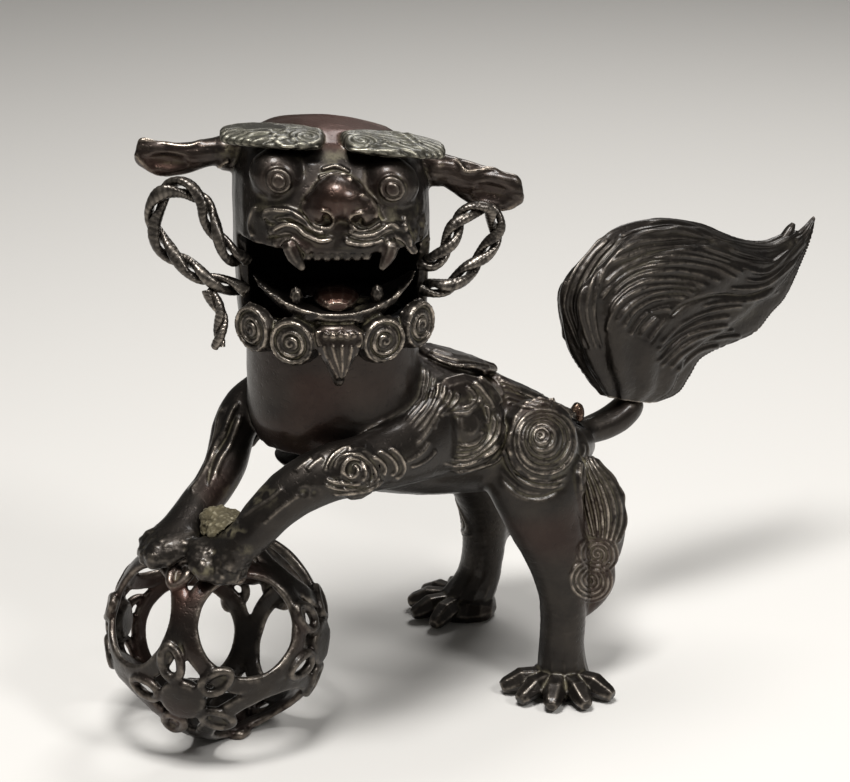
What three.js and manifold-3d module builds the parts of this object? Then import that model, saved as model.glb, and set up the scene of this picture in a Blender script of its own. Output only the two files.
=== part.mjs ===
// A foo dog incense burner in cast bronze, with its forepaws on a pierced ball.
// The hollow body is the burner's bowl. The head is its lid and lifts straight off the neck.
// Sizes are in millimetres and +Z is up. The lion faces -Y and its left side is +X.

import * as THREE from "three";
import { mergeVertices } from "three/addons/utils/BufferGeometryUtils.js";
import Module from "manifold-3d";

const wasm = await Module();
wasm.setup();

// Clearance between brazed pieces, and between the lid and the bowl.
const SEAM = 0.3;
const LID_FIT = 0.5;
const CASTING_WALL = 3.6;

// Body and neck.
const CHEST_FORWARD = 27;
const RUMP_BACK = 114;
const BODY_HALF_WIDTH = 33.5;
const BODY_RAISE = 73;
const BODY_DEPTH = 63;
const NECK_RADIUS = 31;
const NECK_TOP = 150;
const BOWL_FLOOR = 80;

// Ball.
const BALL_RADIUS = 39.5;
const BALL_FORWARD = 49;
const BALL_ASIDE = -2.8;
const BALL_WORN_FLAT = 0.7;
const BALL_TURN = 41;
const BALL_TILT = 15.5;
const WINDOW_RADIUS = 22.3;
const BAND_WIDTH = 7;
const BAND_DEPTH = 4.6;
const WINDOW_BAR_WIDTH = 5;
const WINDOW_BAR_TURN = 47;
const PETAL_COUNT = 5;
const PETAL_REACH = 14.5;
const PETAL_LENGTH = 15;
const PETAL_WIDTH = 10.5;
const PETAL_WIRE = 3.3;
const PETAL_START = 0.6;
const PETAL_STAGGER = 0.4;
const BOSS_RADIUS = 8.5;
const FLORET_PROUD = 1.6;

// Legs and paws.
const FORELEG_RADIUS = 8;
const HIND_SHANK_RADIUS = 8.8;
const THIGH_THICKNESS = 24;
const THIGH_DEPTH = 42;
const HIND_FOOT_OUT = 41;
const HIND_FOOT_BACK = 74;
const RIGHT_FOOT_SETBACK = 11;
const RIGHT_FOOT_INSET = 3;
const TOE_OUT = 45;
const TOE_COUNT = 5;
const TOE_FAN = 134;
const TOE_REACH = 25;
const TOE_RADIUS = 4;
const PAW_HEIGHT = 8;

// Tail.
const TAIL_ROOT_SHARE = 0.16;
const TAIL_STEM_RADIUS = 6.5;
const PLUME_THICKNESS = 28;
const PLUME_RIBS = 6;
const PLUME_RIB_SHARE = 0.11;
const TAIL_RIVET_RADIUS = 2.9;

// Hair scrolls and plates on the body.
const SHOULDER_SCROLL_RADIUS = 18;
const HAUNCH_SCROLL_RADIUS = 15;
const ELBOW_SCROLL_RADIUS = 9.5;
const SCROLL_PROUD = 3.2;
const LEAF_THICKNESS = 3;
const LEAF_HALF_WIDTH = 13;

// Head, measured from the top of the neck.
const HEAD_TURN = 61;
const SKULL_LEAN = 5.5;
const HEAD_HEIGHT = 71;
const HEAD_HALF_WIDTH = 34.5;
const HEAD_FRONT = 38;
const HEAD_BACK = 36;
const HEAD_WALL = 3.4;
const MOUTH_TOP = 34;
const MOUTH_BOTTOM = 8;
const MOUTH_BACK = 13;
const LIP_CORNER_HEIGHT = 20.5;
const LIP_FRONT_HEIGHT = 12;
const FOLD_RADIUS = 1.7;
const EYE_APART = 38.6;
const EYE_HEIGHT = 56.5;
const EYE_RADIUS = 10.3;
const EYE_RING_RADIUS = 4.3;
const NOSE_WIDTH = 25.5;
const NOSE_HEIGHT = 51.5;
const NOSE_ASIDE = 1.5;
const EAR_SPAN = 139;
const EAR_DROP = 12;
const EAR_KNOB_RADIUS = 5.6;
const BROW_LENGTH = 35;
const BROW_THICKNESS = 3.8;
const BROW_DROP = 1.7;
const BROW_TILT = 6;
const RIBBON_RADIUS = 3.6;
const RIBBON_TWISTS = 7;
const BEARD_PROUD = 5.5;
const BEARD_THICKNESS = 6.5;
const LID_RIM_DEPTH = 7;
const LID_RIM_WALL = 2.6;

// Bronze finishes: colour, roughness and metalness.
const DARK_BRONZE = new THREE.MeshStandardMaterial({
  color: 0x2e2824,
  roughness: 0.38,
  metalness: 0.85,
});
const RUBBED_BRONZE = new THREE.MeshStandardMaterial({
  color: 0x4a3428,
  roughness: 0.28,
  metalness: 0.9,
});
const BRONZE_WIRE = new THREE.MeshStandardMaterial({
  color: 0x332d29,
  roughness: 0.32,
  metalness: 0.88,
});
const DUSTY_BRONZE = new THREE.MeshStandardMaterial({
  color: 0x4b4636,
  roughness: 0.6,
  metalness: 0.6,
});
const SOLDER = new THREE.MeshStandardMaterial({
  color: 0x6d6448,
  roughness: 0.85,
  metalness: 0.2,
});

const X_AXIS = new THREE.Vector3(1, 0, 0);
const Y_AXIS = new THREE.Vector3(0, 1, 0);
const Z_AXIS = new THREE.Vector3(0, 0, 1);
const FLOOR_BLOCK = 400;
const DOME_REACH = 0.75;
const radians = THREE.MathUtils.degToRad;
const vector = (x, y, z) => new THREE.Vector3(x, y, z);

// Six times the volume inside a set of faces, negative when they point inwards.
function signedVolume(points, faces) {
  let sum = 0;
  for (let i = 0; i < faces.length; i += 3) {
    const [a, b, c] = [points[faces[i]], points[faces[i + 1]], points[faces[i + 2]]];
    sum += a.dot(vector(0, 0, 0).crossVectors(b, c));
  }
  return sum;
}

// A solid from points and triangles, turned to face outwards.
function solidOf(points, faces) {
  const order = signedVolume(points, faces) < 0 ? [...faces].reverse() : faces;
  return new wasm.Manifold(
    new wasm.Mesh({
      numProp: 3,
      vertProperties: new Float32Array(points.flatMap((p) => p.toArray())),
      triVerts: new Uint32Array(order),
    }),
  );
}

// A solid from a three.js geometry, with its shared vertices merged.
function solidFrom(geometry) {
  const bare = geometry.clone();
  bare.deleteAttribute("normal");
  bare.deleteAttribute("uv");
  const merged = mergeVertices(bare, 1e-4);
  const place = merged.attributes.position;
  const points = Array.from({ length: place.count }, (_, i) => vector(0, 0, 0).fromBufferAttribute(place, i));
  const index = merged.index.array;
  const faces = [];
  for (let i = 0; i < index.length; i += 3) {
    const [a, b, c] = [index[i], index[i + 1], index[i + 2]];
    if (a !== b && b !== c && c !== a) faces.push(a, b, c);
  }
  return solidOf(points, faces);
}

// A closed skin through rings of points, with a fan over each end.
function skinned(rings) {
  const count = rings[0].length;
  const points = rings.flat();
  const faces = wallFaces(rings.length - 1, count, count * rings.length);
  [rings[0], rings.at(-1)].forEach((ring, end) => {
    const middle = points.push(middleOf(ring)) - 1;
    const start = end * (rings.length - 1) * count;
    for (let i = 0; i < count; i += 1) {
      const pair = [start + i, start + ((i + 1) % count)];
      if (end) pair.reverse();
      faces.push(pair[1], pair[0], middle);
    }
  });
  return solidOf(points, faces);
}

// A closed skin through rings of points that come round to the first ring again.
function ringSkinned(rings) {
  const count = rings[0].length;
  const faces = wallFaces(rings.length, count, count * rings.length);
  return solidOf(rings.flat(), faces);
}

function wallFaces(bands, count, total) {
  const faces = [];
  for (let r = 0; r < bands; r += 1) {
    for (let i = 0; i < count; i += 1) {
      const a = r * count + i;
      const b = r * count + ((i + 1) % count);
      const c = (b + count) % total;
      const d = (a + count) % total;
      faces.push(a, b, c, a, c, d);
    }
  }
  return faces;
}

function middleOf(ring) {
  const sum = ring.reduce((s, p) => s.add(p), vector(0, 0, 0));
  return sum.divideScalar(ring.length);
}

// The largest of the bodies that a cut leaves, without the chips.
function mainBody(solid) {
  const bodies = solid.decompose();
  return bodies.reduce((best, next) => (next.volume() > best.volume() ? next : best));
}

function cut(solid, ...tools) {
  return mainBody(tools.reduce((left, tool) => left.subtract(tool), solid));
}

function joined(...solids) {
  return solids.reduce((sum, next) => sum.add(next));
}

// An oval ring round a point, its half sizes along two directions.
function oval(centre, across, up, halfAcross, halfUp, sides, power = 2) {
  return Array.from({ length: sides }, (_, i) => {
    const turn = (i / sides) * 2 * Math.PI;
    const bend = (v) => Math.sign(v) * Math.abs(v) ** (2 / power);
    return centre
      .clone()
      .addScaledVector(across, halfAcross * bend(Math.cos(turn)))
      .addScaledVector(up, halfUp * bend(Math.sin(turn)));
  });
}

// Every second point of a ring drawn in towards its middle, so that a skin through such rings has ribs.
function ribbed(ring, share) {
  const middle = middleOf(ring);
  return ring.map((point, i) => (i % 2 ? point.lerp(middle, share) : point));
}

// A limb along a smooth line: each station is its point, then its half sizes across and up.
function limb(stations, { steps, sides, grow = 0, across = X_AXIS, domes = [true, true], ribs = 0 }) {
  const line = new THREE.CatmullRomCurve3(stations.map(([point]) => point));
  const girth = new THREE.CatmullRomCurve3(stations.map(([, a, u]) => vector(a, u, 0)));
  const ringAt = (t, shift, share) => {
    const along = line.getTangent(t);
    const side = across.clone().addScaledVector(along, -across.dot(along)).normalize();
    const rise = vector(0, 0, 0).crossVectors(along, side);
    const half = girth.getPoint(t);
    const centre = line.getPoint(t).addScaledVector(along, shift);
    const ring = oval(centre, side, rise, (half.x + grow) * share, (half.y + grow) * share, sides);
    return ribbed(ring, ribs);
  };
  const domeAt = (t, sign) => {
    const half = girth.getPoint(t);
    const reach = Math.min(half.x, half.y) * 0.8 + grow;
    return ringAt(t, sign * reach * DOME_REACH, Math.sqrt(1 - DOME_REACH ** 2));
  };
  const rings = Array.from({ length: steps + 1 }, (_, i) => ringAt(i / steps, 0, 1));
  if (domes[0]) rings.unshift(domeAt(0, -1));
  if (domes[1]) rings.push(domeAt(1, 1));
  return skinned(rings);
}

function ellipsoid(centre, halfSizes, turn = new THREE.Quaternion(), detail = [10, 7]) {
  const ball = new THREE.SphereGeometry(1, ...detail);
  ball.scale(halfSizes.x, halfSizes.y, halfSizes.z);
  ball.applyQuaternion(turn);
  ball.translate(centre.x, centre.y, centre.z);
  return solidFrom(ball);
}

function cylinder(radius, bottom, top, sides = 32) {
  const round = new THREE.CylinderGeometry(radius, radius, top - bottom, sides);
  round.rotateX(Math.PI / 2);
  round.translate(0, 0, (top + bottom) / 2);
  return solidFrom(round);
}

// A turned solid on an outward axis: each step is its distance from the axis and its height along it.
function turned(steps, sides, centre, outward) {
  const profile = steps.map(([r, h]) => new THREE.Vector2(r, h));
  const lathe = new THREE.LatheGeometry(profile, sides);
  lathe.applyQuaternion(new THREE.Quaternion().setFromUnitVectors(Y_AXIS, outward.clone().normalize()));
  lathe.translate(centre.x, centre.y, centre.z);
  return solidFrom(lathe);
}

function block(low, high, place = new THREE.Matrix4()) {
  const box = new THREE.BoxGeometry(high.x - low.x, high.y - low.y, high.z - low.z);
  box.translate((high.x + low.x) / 2, (high.y + low.y) / 2, (high.z + low.z) / 2);
  box.applyMatrix4(place);
  return solidFrom(box);
}

// Everything below the surface that the statue stands on, seen from a piece's own frame.
function underFloor(place) {
  const low = vector(-FLOOR_BLOCK, -FLOOR_BLOCK, -FLOOR_BLOCK);
  return block(low, vector(FLOOR_BLOCK, FLOOR_BLOCK, 0), place);
}

// Body: share of the length, half width, belly and back as shares of the width and depth.
const BODY_SECTIONS = [
  [0.0, 0.2, 0.56, 0.72],
  [0.04, 0.58, 0.48, 0.88],
  [0.13, 0.85, 0.34, 0.97],
  [0.25, 0.97, 0.17, 1.0],
  [0.4, 1.0, 0.07, 0.94],
  [0.55, 1.0, 0.02, 0.79],
  [0.68, 0.98, 0.0, 0.63],
  [0.8, 0.92, 0.01, 0.47],
  [0.9, 0.72, 0.03, 0.33],
  [0.97, 0.42, 0.07, 0.24],
  [1.0, 0.16, 0.12, 0.2],
];

const bodyPlace = (share) => share * (RUMP_BACK + CHEST_FORWARD) - CHEST_FORWARD;

// Body width and heights at a distance behind the neck axis.
function bodyAt(y) {
  const share = THREE.MathUtils.clamp((y + CHEST_FORWARD) / (RUMP_BACK + CHEST_FORWARD), 0, 1);
  const next = Math.max(1, BODY_SECTIONS.findIndex(([s]) => s >= share));
  const [low, high] = [BODY_SECTIONS[next - 1], BODY_SECTIONS[next]];
  const part = (share - low[0]) / (high[0] - low[0]);
  const [, width, belly, back] = low.map((v, i) => THREE.MathUtils.lerp(v, high[i], part));
  return {
    halfWidth: width * BODY_HALF_WIDTH,
    belly: BODY_RAISE + belly * BODY_DEPTH,
    back: BODY_RAISE + back * BODY_DEPTH,
  };
}

function bodyRing(y, grow, shift = 0) {
  const { halfWidth, belly, back } = bodyAt(y);
  const centre = vector(0, y + shift, (belly + back) / 2);
  const [wide, tall] = [Math.max(halfWidth + grow, 1), Math.max((back - belly) / 2 + grow, 1)];
  return oval(centre, X_AXIS, Z_AXIS, wide, tall, 20, 2.2);
}

// The closed outer form of body and neck, wider by grow.
function bodyForm(grow = 0) {
  const rings = BODY_SECTIONS.map(([share], i) => {
    const end = i === 0 ? -1 : i === BODY_SECTIONS.length - 1 ? 1 : 0;
    return bodyRing(bodyPlace(share), grow, end * grow);
  });
  return skinned(rings).add(neckForm(grow));
}

// The neck: a plain cylinder that rounds in under the chest.
function neckForm(grow) {
  const radius = NECK_RADIUS + grow;
  const chestTuck = BODY_RAISE + 0.36 * BODY_DEPTH;
  const profile = [
    new THREE.Vector2(0, chestTuck - 4 - grow),
    new THREE.Vector2(radius * 0.55, chestTuck - 1.5 - grow),
    new THREE.Vector2(radius * 0.86, chestTuck + 6),
    new THREE.Vector2(radius, chestTuck + 20),
    new THREE.Vector2(radius, NECK_TOP + grow),
    new THREE.Vector2(0, NECK_TOP + grow),
  ];
  const lathe = new THREE.LatheGeometry(profile, 32);
  lathe.rotateX(Math.PI / 2);
  return solidFrom(lathe);
}

// The hollow of the bowl: the neck's bore, and the body inside its casting wall.
function bowlHollow() {
  const inside = BODY_SECTIONS.slice(2, -2).map(([share]) => bodyRing(bodyPlace(share), -CASTING_WALL));
  const bore = cylinder(NECK_RADIUS - CASTING_WALL, BOWL_FLOOR + BODY_DEPTH * 0.3, NECK_TOP + 5);
  return skinned(inside).add(bore);
}

function bodyShell() {
  return cut(bodyForm(), bowlHollow());
}

// Ball: six florets at the ends of three crossed axes, and a round window between each three.
const ballCentre = vector(BALL_ASIDE, -BALL_FORWARD, BALL_RADIUS - BALL_WORN_FLAT);
const ballTurn = new THREE.Quaternion()
  .setFromAxisAngle(Z_AXIS, radians(BALL_TURN))
  .multiply(new THREE.Quaternion().setFromAxisAngle(X_AXIS, radians(BALL_TILT)));
const ballPlace = new THREE.Matrix4().compose(ballCentre, ballTurn, vector(1, 1, 1));

// A point on the ball: a way off its axis by an arc length, in a direction round it.
function onBall(axis, side, turn, arc, radius) {
  const off = arc / BALL_RADIUS;
  const other = vector(0, 0, 0).crossVectors(axis, side);
  return vector(0, 0, 0)
    .addScaledVector(axis, Math.cos(off) * radius)
    .addScaledVector(side, Math.sin(off) * Math.cos(turn) * radius)
    .addScaledVector(other, Math.sin(off) * Math.sin(turn) * radius);
}

// Any direction square to the given one.
function squareTo(axis) {
  const helper = Math.abs(axis.z) < 0.8 ? Z_AXIS : X_AXIS;
  return vector(0, 0, 0).crossVectors(helper, axis).normalize();
}

// A round band of the ball that frames one window.
function windowBand(axis) {
  const side = squareTo(axis);
  const half = BAND_WIDTH / 2;
  const section = [
    [-half, -BAND_DEPTH * 0.6],
    [half, -BAND_DEPTH * 0.6],
    [half * 0.75, 0],
    [-half * 0.75, 0],
  ];
  const steps = 12;
  const rings = Array.from({ length: steps }, (_, i) => {
    const turn = (i / steps) * 2 * Math.PI;
    return section.map(([arc, rise]) => onBall(axis, side, turn, WINDOW_RADIUS + arc, BALL_RADIUS + rise));
  });
  return ringSkinned(rings);
}

// A bar across the middle of one window.
function windowBar(axis, turn) {
  const side = squareTo(axis);
  const half = WINDOW_BAR_WIDTH / 2;
  const section = [
    [-half, -BAND_DEPTH],
    [half, -BAND_DEPTH],
    [half, -SEAM],
    [-half, -SEAM],
  ];
  const away = vector(0, 0, 0).addScaledVector(side, -Math.sin(turn));
  away.addScaledVector(vector(0, 0, 0).crossVectors(axis, side), Math.cos(turn));
  const rings = [-1, -0.5, 0, 0.5, 1].map((share) => {
    const onLine = onBall(axis, side, turn, WINDOW_RADIUS * share, 1);
    const corner = ([aside, rise]) =>
      onLine
        .clone()
        .multiplyScalar(BALL_RADIUS + rise)
        .addScaledVector(away, aside);
    return section.map(corner);
  });
  return skinned(rings);
}

// One hollow petal: an oval loop of square wire lying on the ball.
function petal(axis, side, turn) {
  const steps = 6;
  const outward = onBall(axis, side, turn, PETAL_REACH, 1);
  const along = onBall(axis, side, turn, PETAL_REACH + BALL_RADIUS * 0.5 * Math.PI, 1);
  const level = BALL_RADIUS + FLORET_PROUD - PETAL_WIRE / 2;
  const wireRing = (i) => {
    const round = (i / steps) * 2 * Math.PI;
    const [half, wide] = [(PETAL_LENGTH - PETAL_WIRE) / 2, (PETAL_WIDTH - PETAL_WIRE) / 2];
    const [x, y] = [half * Math.cos(round), wide * Math.sin(round)];
    const arc = Math.hypot(x, y);
    const centreWay = onBall(outward, along, Math.atan2(y, x), arc, 1);
    const away = onBall(outward, along, Math.atan2(y * half, x * wide), arc + BALL_RADIUS * 0.5 * Math.PI, 1);
    const across = away.addScaledVector(centreWay, -away.dot(centreWay)).normalize();
    const centre = centreWay.clone().multiplyScalar(level);
    const corners = [[1, 1], [-1, 1], [-1, -1], [1, -1]];
    return corners.map(([a, b]) =>
      centre
        .clone()
        .addScaledVector(across, (a * PETAL_WIRE) / 2)
        .addScaledVector(centreWay, (b * PETAL_WIRE) / 2),
    );
  };
  return ringSkinned(Array.from({ length: steps }, (_, i) => wireRing(i)));
}

function floret(axis, firstTurn) {
  const side = squareTo(axis);
  const petals = Array.from({ length: PETAL_COUNT }, (_, i) =>
    petal(axis, side, firstTurn + (i / PETAL_COUNT) * 2 * Math.PI),
  );
  const level = BALL_RADIUS + FLORET_PROUD;
  const boss = [
    [0.75, -BAND_DEPTH - FLORET_PROUD],
    [1, -1.4],
    [0.6, 0],
  ].map(([share, rise]) =>
    Array.from({ length: 7 }, (_, i) =>
      onBall(axis, side, (i / 7) * 2 * Math.PI, BOSS_RADIUS * share, level + rise),
    ),
  );
  return joined(skinned(boss), ...petals);
}

function piercedBall() {
  const axes = [X_AXIS, Y_AXIS, Z_AXIS].flatMap((a) => [a.clone(), a.clone().negate()]);
  const corners = [-1, 1].flatMap((x) => [-1, 1].flatMap((y) => [-1, 1].map((z) => [x, y, z])));
  const bands = corners.map(([x, y, z]) => windowBand(vector(x, y, z).normalize()));
  const florets = axes.map((axis, i) => floret(axis, PETAL_START + i * PETAL_STAGGER));
  const bar = windowBar(vector(1, 1, 1).normalize(), radians(WINDOW_BAR_TURN));
  return cut(joined(bar, ...bands, ...florets), underFloor(ballPlace.clone().invert()));
}

// The full outer ball, which the paws lie on.
function ballEnvelope(grow) {
  const rows = 16;
  const radius = (BALL_RADIUS + FLORET_PROUD + grow) / Math.cos(Math.PI / rows);
  return ellipsoid(ballCentre, vector(radius, radius, radius), new THREE.Quaternion(), [24, rows]);
}

// A paw: a low pad, with toes that fan out along the surface that it lies on.
function paw({ centre, up, aim, height, toes, fan, reach, toeRadius, padSize }, grow = 0) {
  const forward = aim.clone().addScaledVector(up, -aim.dot(up)).normalize();
  const side = vector(0, 0, 0).crossVectors(forward, up);
  const turn = new THREE.Quaternion().setFromRotationMatrix(new THREE.Matrix4().makeBasis(side, forward, up));
  const pad = ellipsoid(centre, vector(padSize + grow, padSize + grow, height + grow), turn);
  const toeAt = (i) => {
    const angle = radians((i / (toes - 1) - 0.5) * fan);
    const way = forward.clone().multiplyScalar(Math.cos(angle)).addScaledVector(side, Math.sin(angle));
    const point = (out, rise) => centre.clone().addScaledVector(way, out).addScaledVector(up, rise);
    const stations = [
      [point(reach * 0.25, height * 0.35), toeRadius, toeRadius],
      [point(reach * 0.6, height * 0.3), toeRadius * 1.1, toeRadius * 1.1],
      [point(reach - toeRadius, toeRadius * 0.2 - height * 0.05), toeRadius * 0.8, toeRadius * 0.75],
    ];
    const across = vector(0, 0, 0).crossVectors(way, up);
    return limb(stations, { steps: 2, sides: 6, grow, across, domes: [false, true] });
  };
  return joined(pad, ...Array.from({ length: toes }, (_, i) => toeAt(i)));
}

// Hind legs: thigh, shank and a paw flat on the floor. Side is 1 on the left and -1 on the right.
function hindFoot(side) {
  const setback = side < 0 ? RIGHT_FOOT_SETBACK : 0;
  const inset = side < 0 ? RIGHT_FOOT_INSET : 0;
  return vector(side * (HIND_FOOT_OUT - inset), HIND_FOOT_BACK + setback, 0);
}

function hindLegForm(side, grow = 0) {
  const foot = hindFoot(side);
  const shank = HIND_SHANK_RADIUS;
  const [thick, deep] = [THIGH_THICKNESS / 2, THIGH_DEPTH / 2];
  const hip = bodyAt(HIND_FOOT_BACK);
  const hipAt = (out, ahead, height) => vector(side * out * BODY_HALF_WIDTH, HIND_FOOT_BACK - ahead, height);
  const knee = BODY_RAISE * 0.7;
  const back = foot.y - HIND_FOOT_BACK;
  const hock = foot.y + back * 0.5;
  const stations = [
    [hipAt(0.75, 6 - back * 0.6, hip.back - BODY_DEPTH * 0.25), thick * 0.83, deep * 0.95],
    [hipAt(0.925, 6 - back * 0.8, hip.belly + BODY_DEPTH * 0.19), thick, deep],
    [hipAt(1.015, 4 - back * 1.3, hip.belly - BODY_DEPTH * 0.05), thick * 0.96, deep * 0.76],
    [vector(foot.x - side * 4, hock + 1, knee), shank * 1.15, shank * 1.3],
    [vector(foot.x - side * 2, hock + 2.5, knee * 0.65), shank, shank],
    [vector(foot.x - side, hock + 1, knee * 0.32), shank * 0.97, shank * 0.97],
    [vector(foot.x, foot.y + 1, PAW_HEIGHT * 0.7), shank * 1.15, shank * 1.15],
  ];
  return limb(stations, { steps: 11, sides: 12, grow });
}

function hindLeg(side) {
  const foot = hindFoot(side);
  const aim = vector(side * Math.sin(radians(TOE_OUT)), -Math.cos(radians(TOE_OUT)), 0);
  const base = paw({
    centre: vector(foot.x, foot.y, PAW_HEIGHT * 0.4),
    up: Z_AXIS,
    aim,
    height: PAW_HEIGHT,
    toes: TOE_COUNT,
    fan: TOE_FAN,
    reach: TOE_REACH,
    toeRadius: TOE_RADIUS,
    padSize: HIND_SHANK_RADIUS * 1.45,
  });
  return cut(joined(hindLegForm(side), base), underFloor(), bodyForm(SEAM), haunchScrollForm(side, SEAM));
}

// Forelegs: from the shoulder to a paw on the ball. Each ends on the ball, off its middle.
const PAW_PLACE = { 1: vector(20, -9, 37), "-1": vector(2, -19.5, 39) };

function forelegLine(side) {
  const rest = PAW_PLACE[side].clone().setLength(BALL_RADIUS + FLORET_PROUD + 3);
  const pawPoint = ballCentre.clone().add(rest);
  const shoulder = bodyAt(0);
  const out = side * (shoulder.halfWidth + 4);
  const high = shoulder.back - 27.5;
  if (side > 0) {
    return [
      [vector(out - 3, 24, high + 1), 8, 15],
      [vector(out + 1, 6, high), 8.5, 12.5],
      [vector(out + 3, -12, high), FORELEG_RADIUS + 0.5, 10.8],
      [vector(out + 1, -27, high - 1.5), FORELEG_RADIUS + 1, 10.5],
      [vector(out - 4, -41, high - 9.5), FORELEG_RADIUS + 1, FORELEG_RADIUS + 1],
      [pawPoint.clone().add(vector(8, 6, 8)), FORELEG_RADIUS, FORELEG_RADIUS - 1],
      [pawPoint, FORELEG_RADIUS + 1, 5],
    ];
  }
  return [
    [vector(out + 10, -6, high + 10), 8, 11],
    [vector(out + 7, -19, high + 5), 8, 9.5],
    [vector(out + 9, -27, high - 2), FORELEG_RADIUS, FORELEG_RADIUS + 0.5],
    [vector(out + 12, -31, high - 10), FORELEG_RADIUS, FORELEG_RADIUS],
    [vector(out + 17, -38, high - 16.5), FORELEG_RADIUS, FORELEG_RADIUS - 0.5],
    [pawPoint.clone().add(vector(-7, 13, 5)), FORELEG_RADIUS, FORELEG_RADIUS - 1.5],
    [pawPoint, FORELEG_RADIUS + 1, 5],
  ];
}

function forelegForm(side, grow = 0) {
  const centre = forelegLine(side).at(-1)[0];
  const up = centre.clone().sub(ballCentre).normalize();
  const shape = {
    centre: centre.clone().addScaledVector(up, -1),
    up,
    aim: vector(-0.3, -1, 0),
    height: 6,
    toes: 4,
    fan: 78,
    reach: 14,
    toeRadius: 3.2,
    padSize: FORELEG_RADIUS + 3,
  };
  return joined(limb(forelegLine(side), { steps: 11, sides: 12, grow }), paw(shape, grow));
}

function foreleg(side) {
  const tools = [bodyForm(SEAM), ballEnvelope(SEAM)];
  if (side > 0) tools.push(forelegForm(-1, SEAM));
  return cut(forelegForm(side), ...tools);
}

// The lump of solder and casting earth that fills the gap between the forelegs.
function pawSolder() {
  const left = forelegLine(1).at(-2)[0];
  const right = forelegLine(-1).at(-2)[0];
  const middle = left.clone().lerp(right, 0.45);
  const lump = ellipsoid(middle.add(vector(0, 2, -1)), vector(17, 8, 7));
  return cut(lump, forelegForm(1, SEAM), forelegForm(-1, SEAM), ballEnvelope(SEAM), bodyForm(SEAM));
}

// A scroll of hair: a low dome with two steps, lying on the flank.
function scrollForm(centre, radius, outward, grow = 0) {
  const steps = [
    [0, -radius * 0.5 - grow],
    [radius + grow, -radius * 0.5 - grow],
    [radius + grow, SCROLL_PROUD * 0.25 + grow],
    [radius * 0.84 + grow, SCROLL_PROUD * 0.8 + grow],
    [radius * 0.5, SCROLL_PROUD * 0.7 + grow],
    [radius * 0.2, SCROLL_PROUD * 1.5 + grow],
    [0, SCROLL_PROUD * 1.5 + grow],
  ];
  return turned(steps, 14, centre, outward);
}

function shoulderScrollForm(side, grow = 0) {
  const y = 35;
  const { halfWidth, belly, back } = bodyAt(y);
  const centre = vector(side * (halfWidth - 2), y, THREE.MathUtils.lerp(belly, back, 0.66));
  return scrollForm(centre, SHOULDER_SCROLL_RADIUS, vector(side, 0, 0.28), grow);
}

function haunchScrollForm(side, grow = 0) {
  const y = 66;
  const { halfWidth, belly, back } = bodyAt(y);
  const centre = vector(side * (halfWidth + 5), y, THREE.MathUtils.lerp(belly, back, 0.68));
  return scrollForm(centre, HAUNCH_SCROLL_RADIUS, vector(side, 0.05, 0.35), grow);
}

function elbowScrollForm(side) {
  const [point, half] = forelegLine(side)[2];
  const [sunk, ahead] = side > 0 ? [2.5, -6] : [5, 3];
  const centre = point.clone().add(vector(side * (half - sunk), ahead, 0));
  return scrollForm(centre, ELBOW_SCROLL_RADIUS, vector(side, 0, 0.1));
}

function shoulderScroll(side) {
  return cut(shoulderScrollForm(side), bodyForm(SEAM), forelegForm(side, SEAM), hindLegForm(side, SEAM));
}

function haunchScroll(side) {
  return cut(haunchScrollForm(side), bodyForm(SEAM), shoulderScrollForm(side, SEAM));
}

function elbowScroll(side) {
  return cut(elbowScrollForm(side), forelegForm(side, SEAM), bodyForm(SEAM), shoulderScrollForm(side, SEAM));
}

// Hair panel behind the hind leg, from the rump to the hock.
function hockTuftForm(side, grow = 0) {
  const foot = hindFoot(side);
  const x = foot.x - side * 5;
  const stations = [
    [vector(x - side * 4, foot.y + 18, BODY_RAISE + 10), 5, 5],
    [vector(x, foot.y + 21, BODY_RAISE - 3), 6.5, 10.5],
    [vector(x + side, foot.y + 21, BODY_RAISE * 0.78), 6.5, 11],
    [vector(x + side * 2, foot.y + 20, BODY_RAISE * 0.66), 5.5, 9],
  ];
  return limb(stations, { steps: 6, sides: 12, grow, ribs: grow ? 0 : 0.09 });
}

function hockTuft(side) {
  return cut(hockTuftForm(side), hindLegForm(side, 2 * SEAM), bodyForm(SEAM), haunchScrollForm(side, SEAM));
}

// Two curls below the hair panel.
function hockCurl(side) {
  const foot = hindFoot(side);
  const x = foot.x - side * 2;
  const stations = [
    [vector(x, foot.y + 18.5, BODY_RAISE * 0.64), 5, 6.5],
    [vector(x, foot.y + 18.5, BODY_RAISE * 0.55), 6, 7.6],
    [vector(x, foot.y + 15, BODY_RAISE * 0.46), 5, 6.2],
    [vector(x, foot.y + 12, BODY_RAISE * 0.38), 2.5, 2.5],
  ];
  const curls = limb(stations, { steps: 6, sides: 8 });
  return cut(curls, hindLegForm(side, SEAM), hockTuftForm(side, SEAM));
}

// Mane plates that overlap down the spine: where each starts and ends, and how far its pointed end stands up.
const LEAF_PLACES = {
  nape_leaf: [38, 70, 4.5],
  back_leaf: [68, 97, 1.5],
  rump_leaf: [92, 109, 1],
};

function leafForm(name, grow = 0) {
  const [start, end, rise] = LEAF_PLACES[name];
  const widest = LEAF_HALF_WIDTH * ((end - start) / 32) ** 0.5;
  const rows = [0, 0.35, 0.7, 1].map((share, i) => {
    const y = THREE.MathUtils.lerp(start, end, share);
    const width = widest * [0.7, 1, 0.75, 0.18][i];
    return [vector(0, y, bodyAt(y).back + 0.5 + share * rise), width, LEAF_THICKNESS * [1, 1, 0.9, 0.6][i]];
  });
  return limb(rows, { steps: 4, sides: 10, grow });
}

function leaf(name, neighbours) {
  return cut(leafForm(name), bodyForm(SEAM), ...neighbours.map((n) => leafForm(n, SEAM)));
}

// Tail stem: rises from the rump and ends in the foot of the plume.
const TAIL_ROOT_HEIGHT = BODY_RAISE + TAIL_ROOT_SHARE * BODY_DEPTH;

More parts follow.
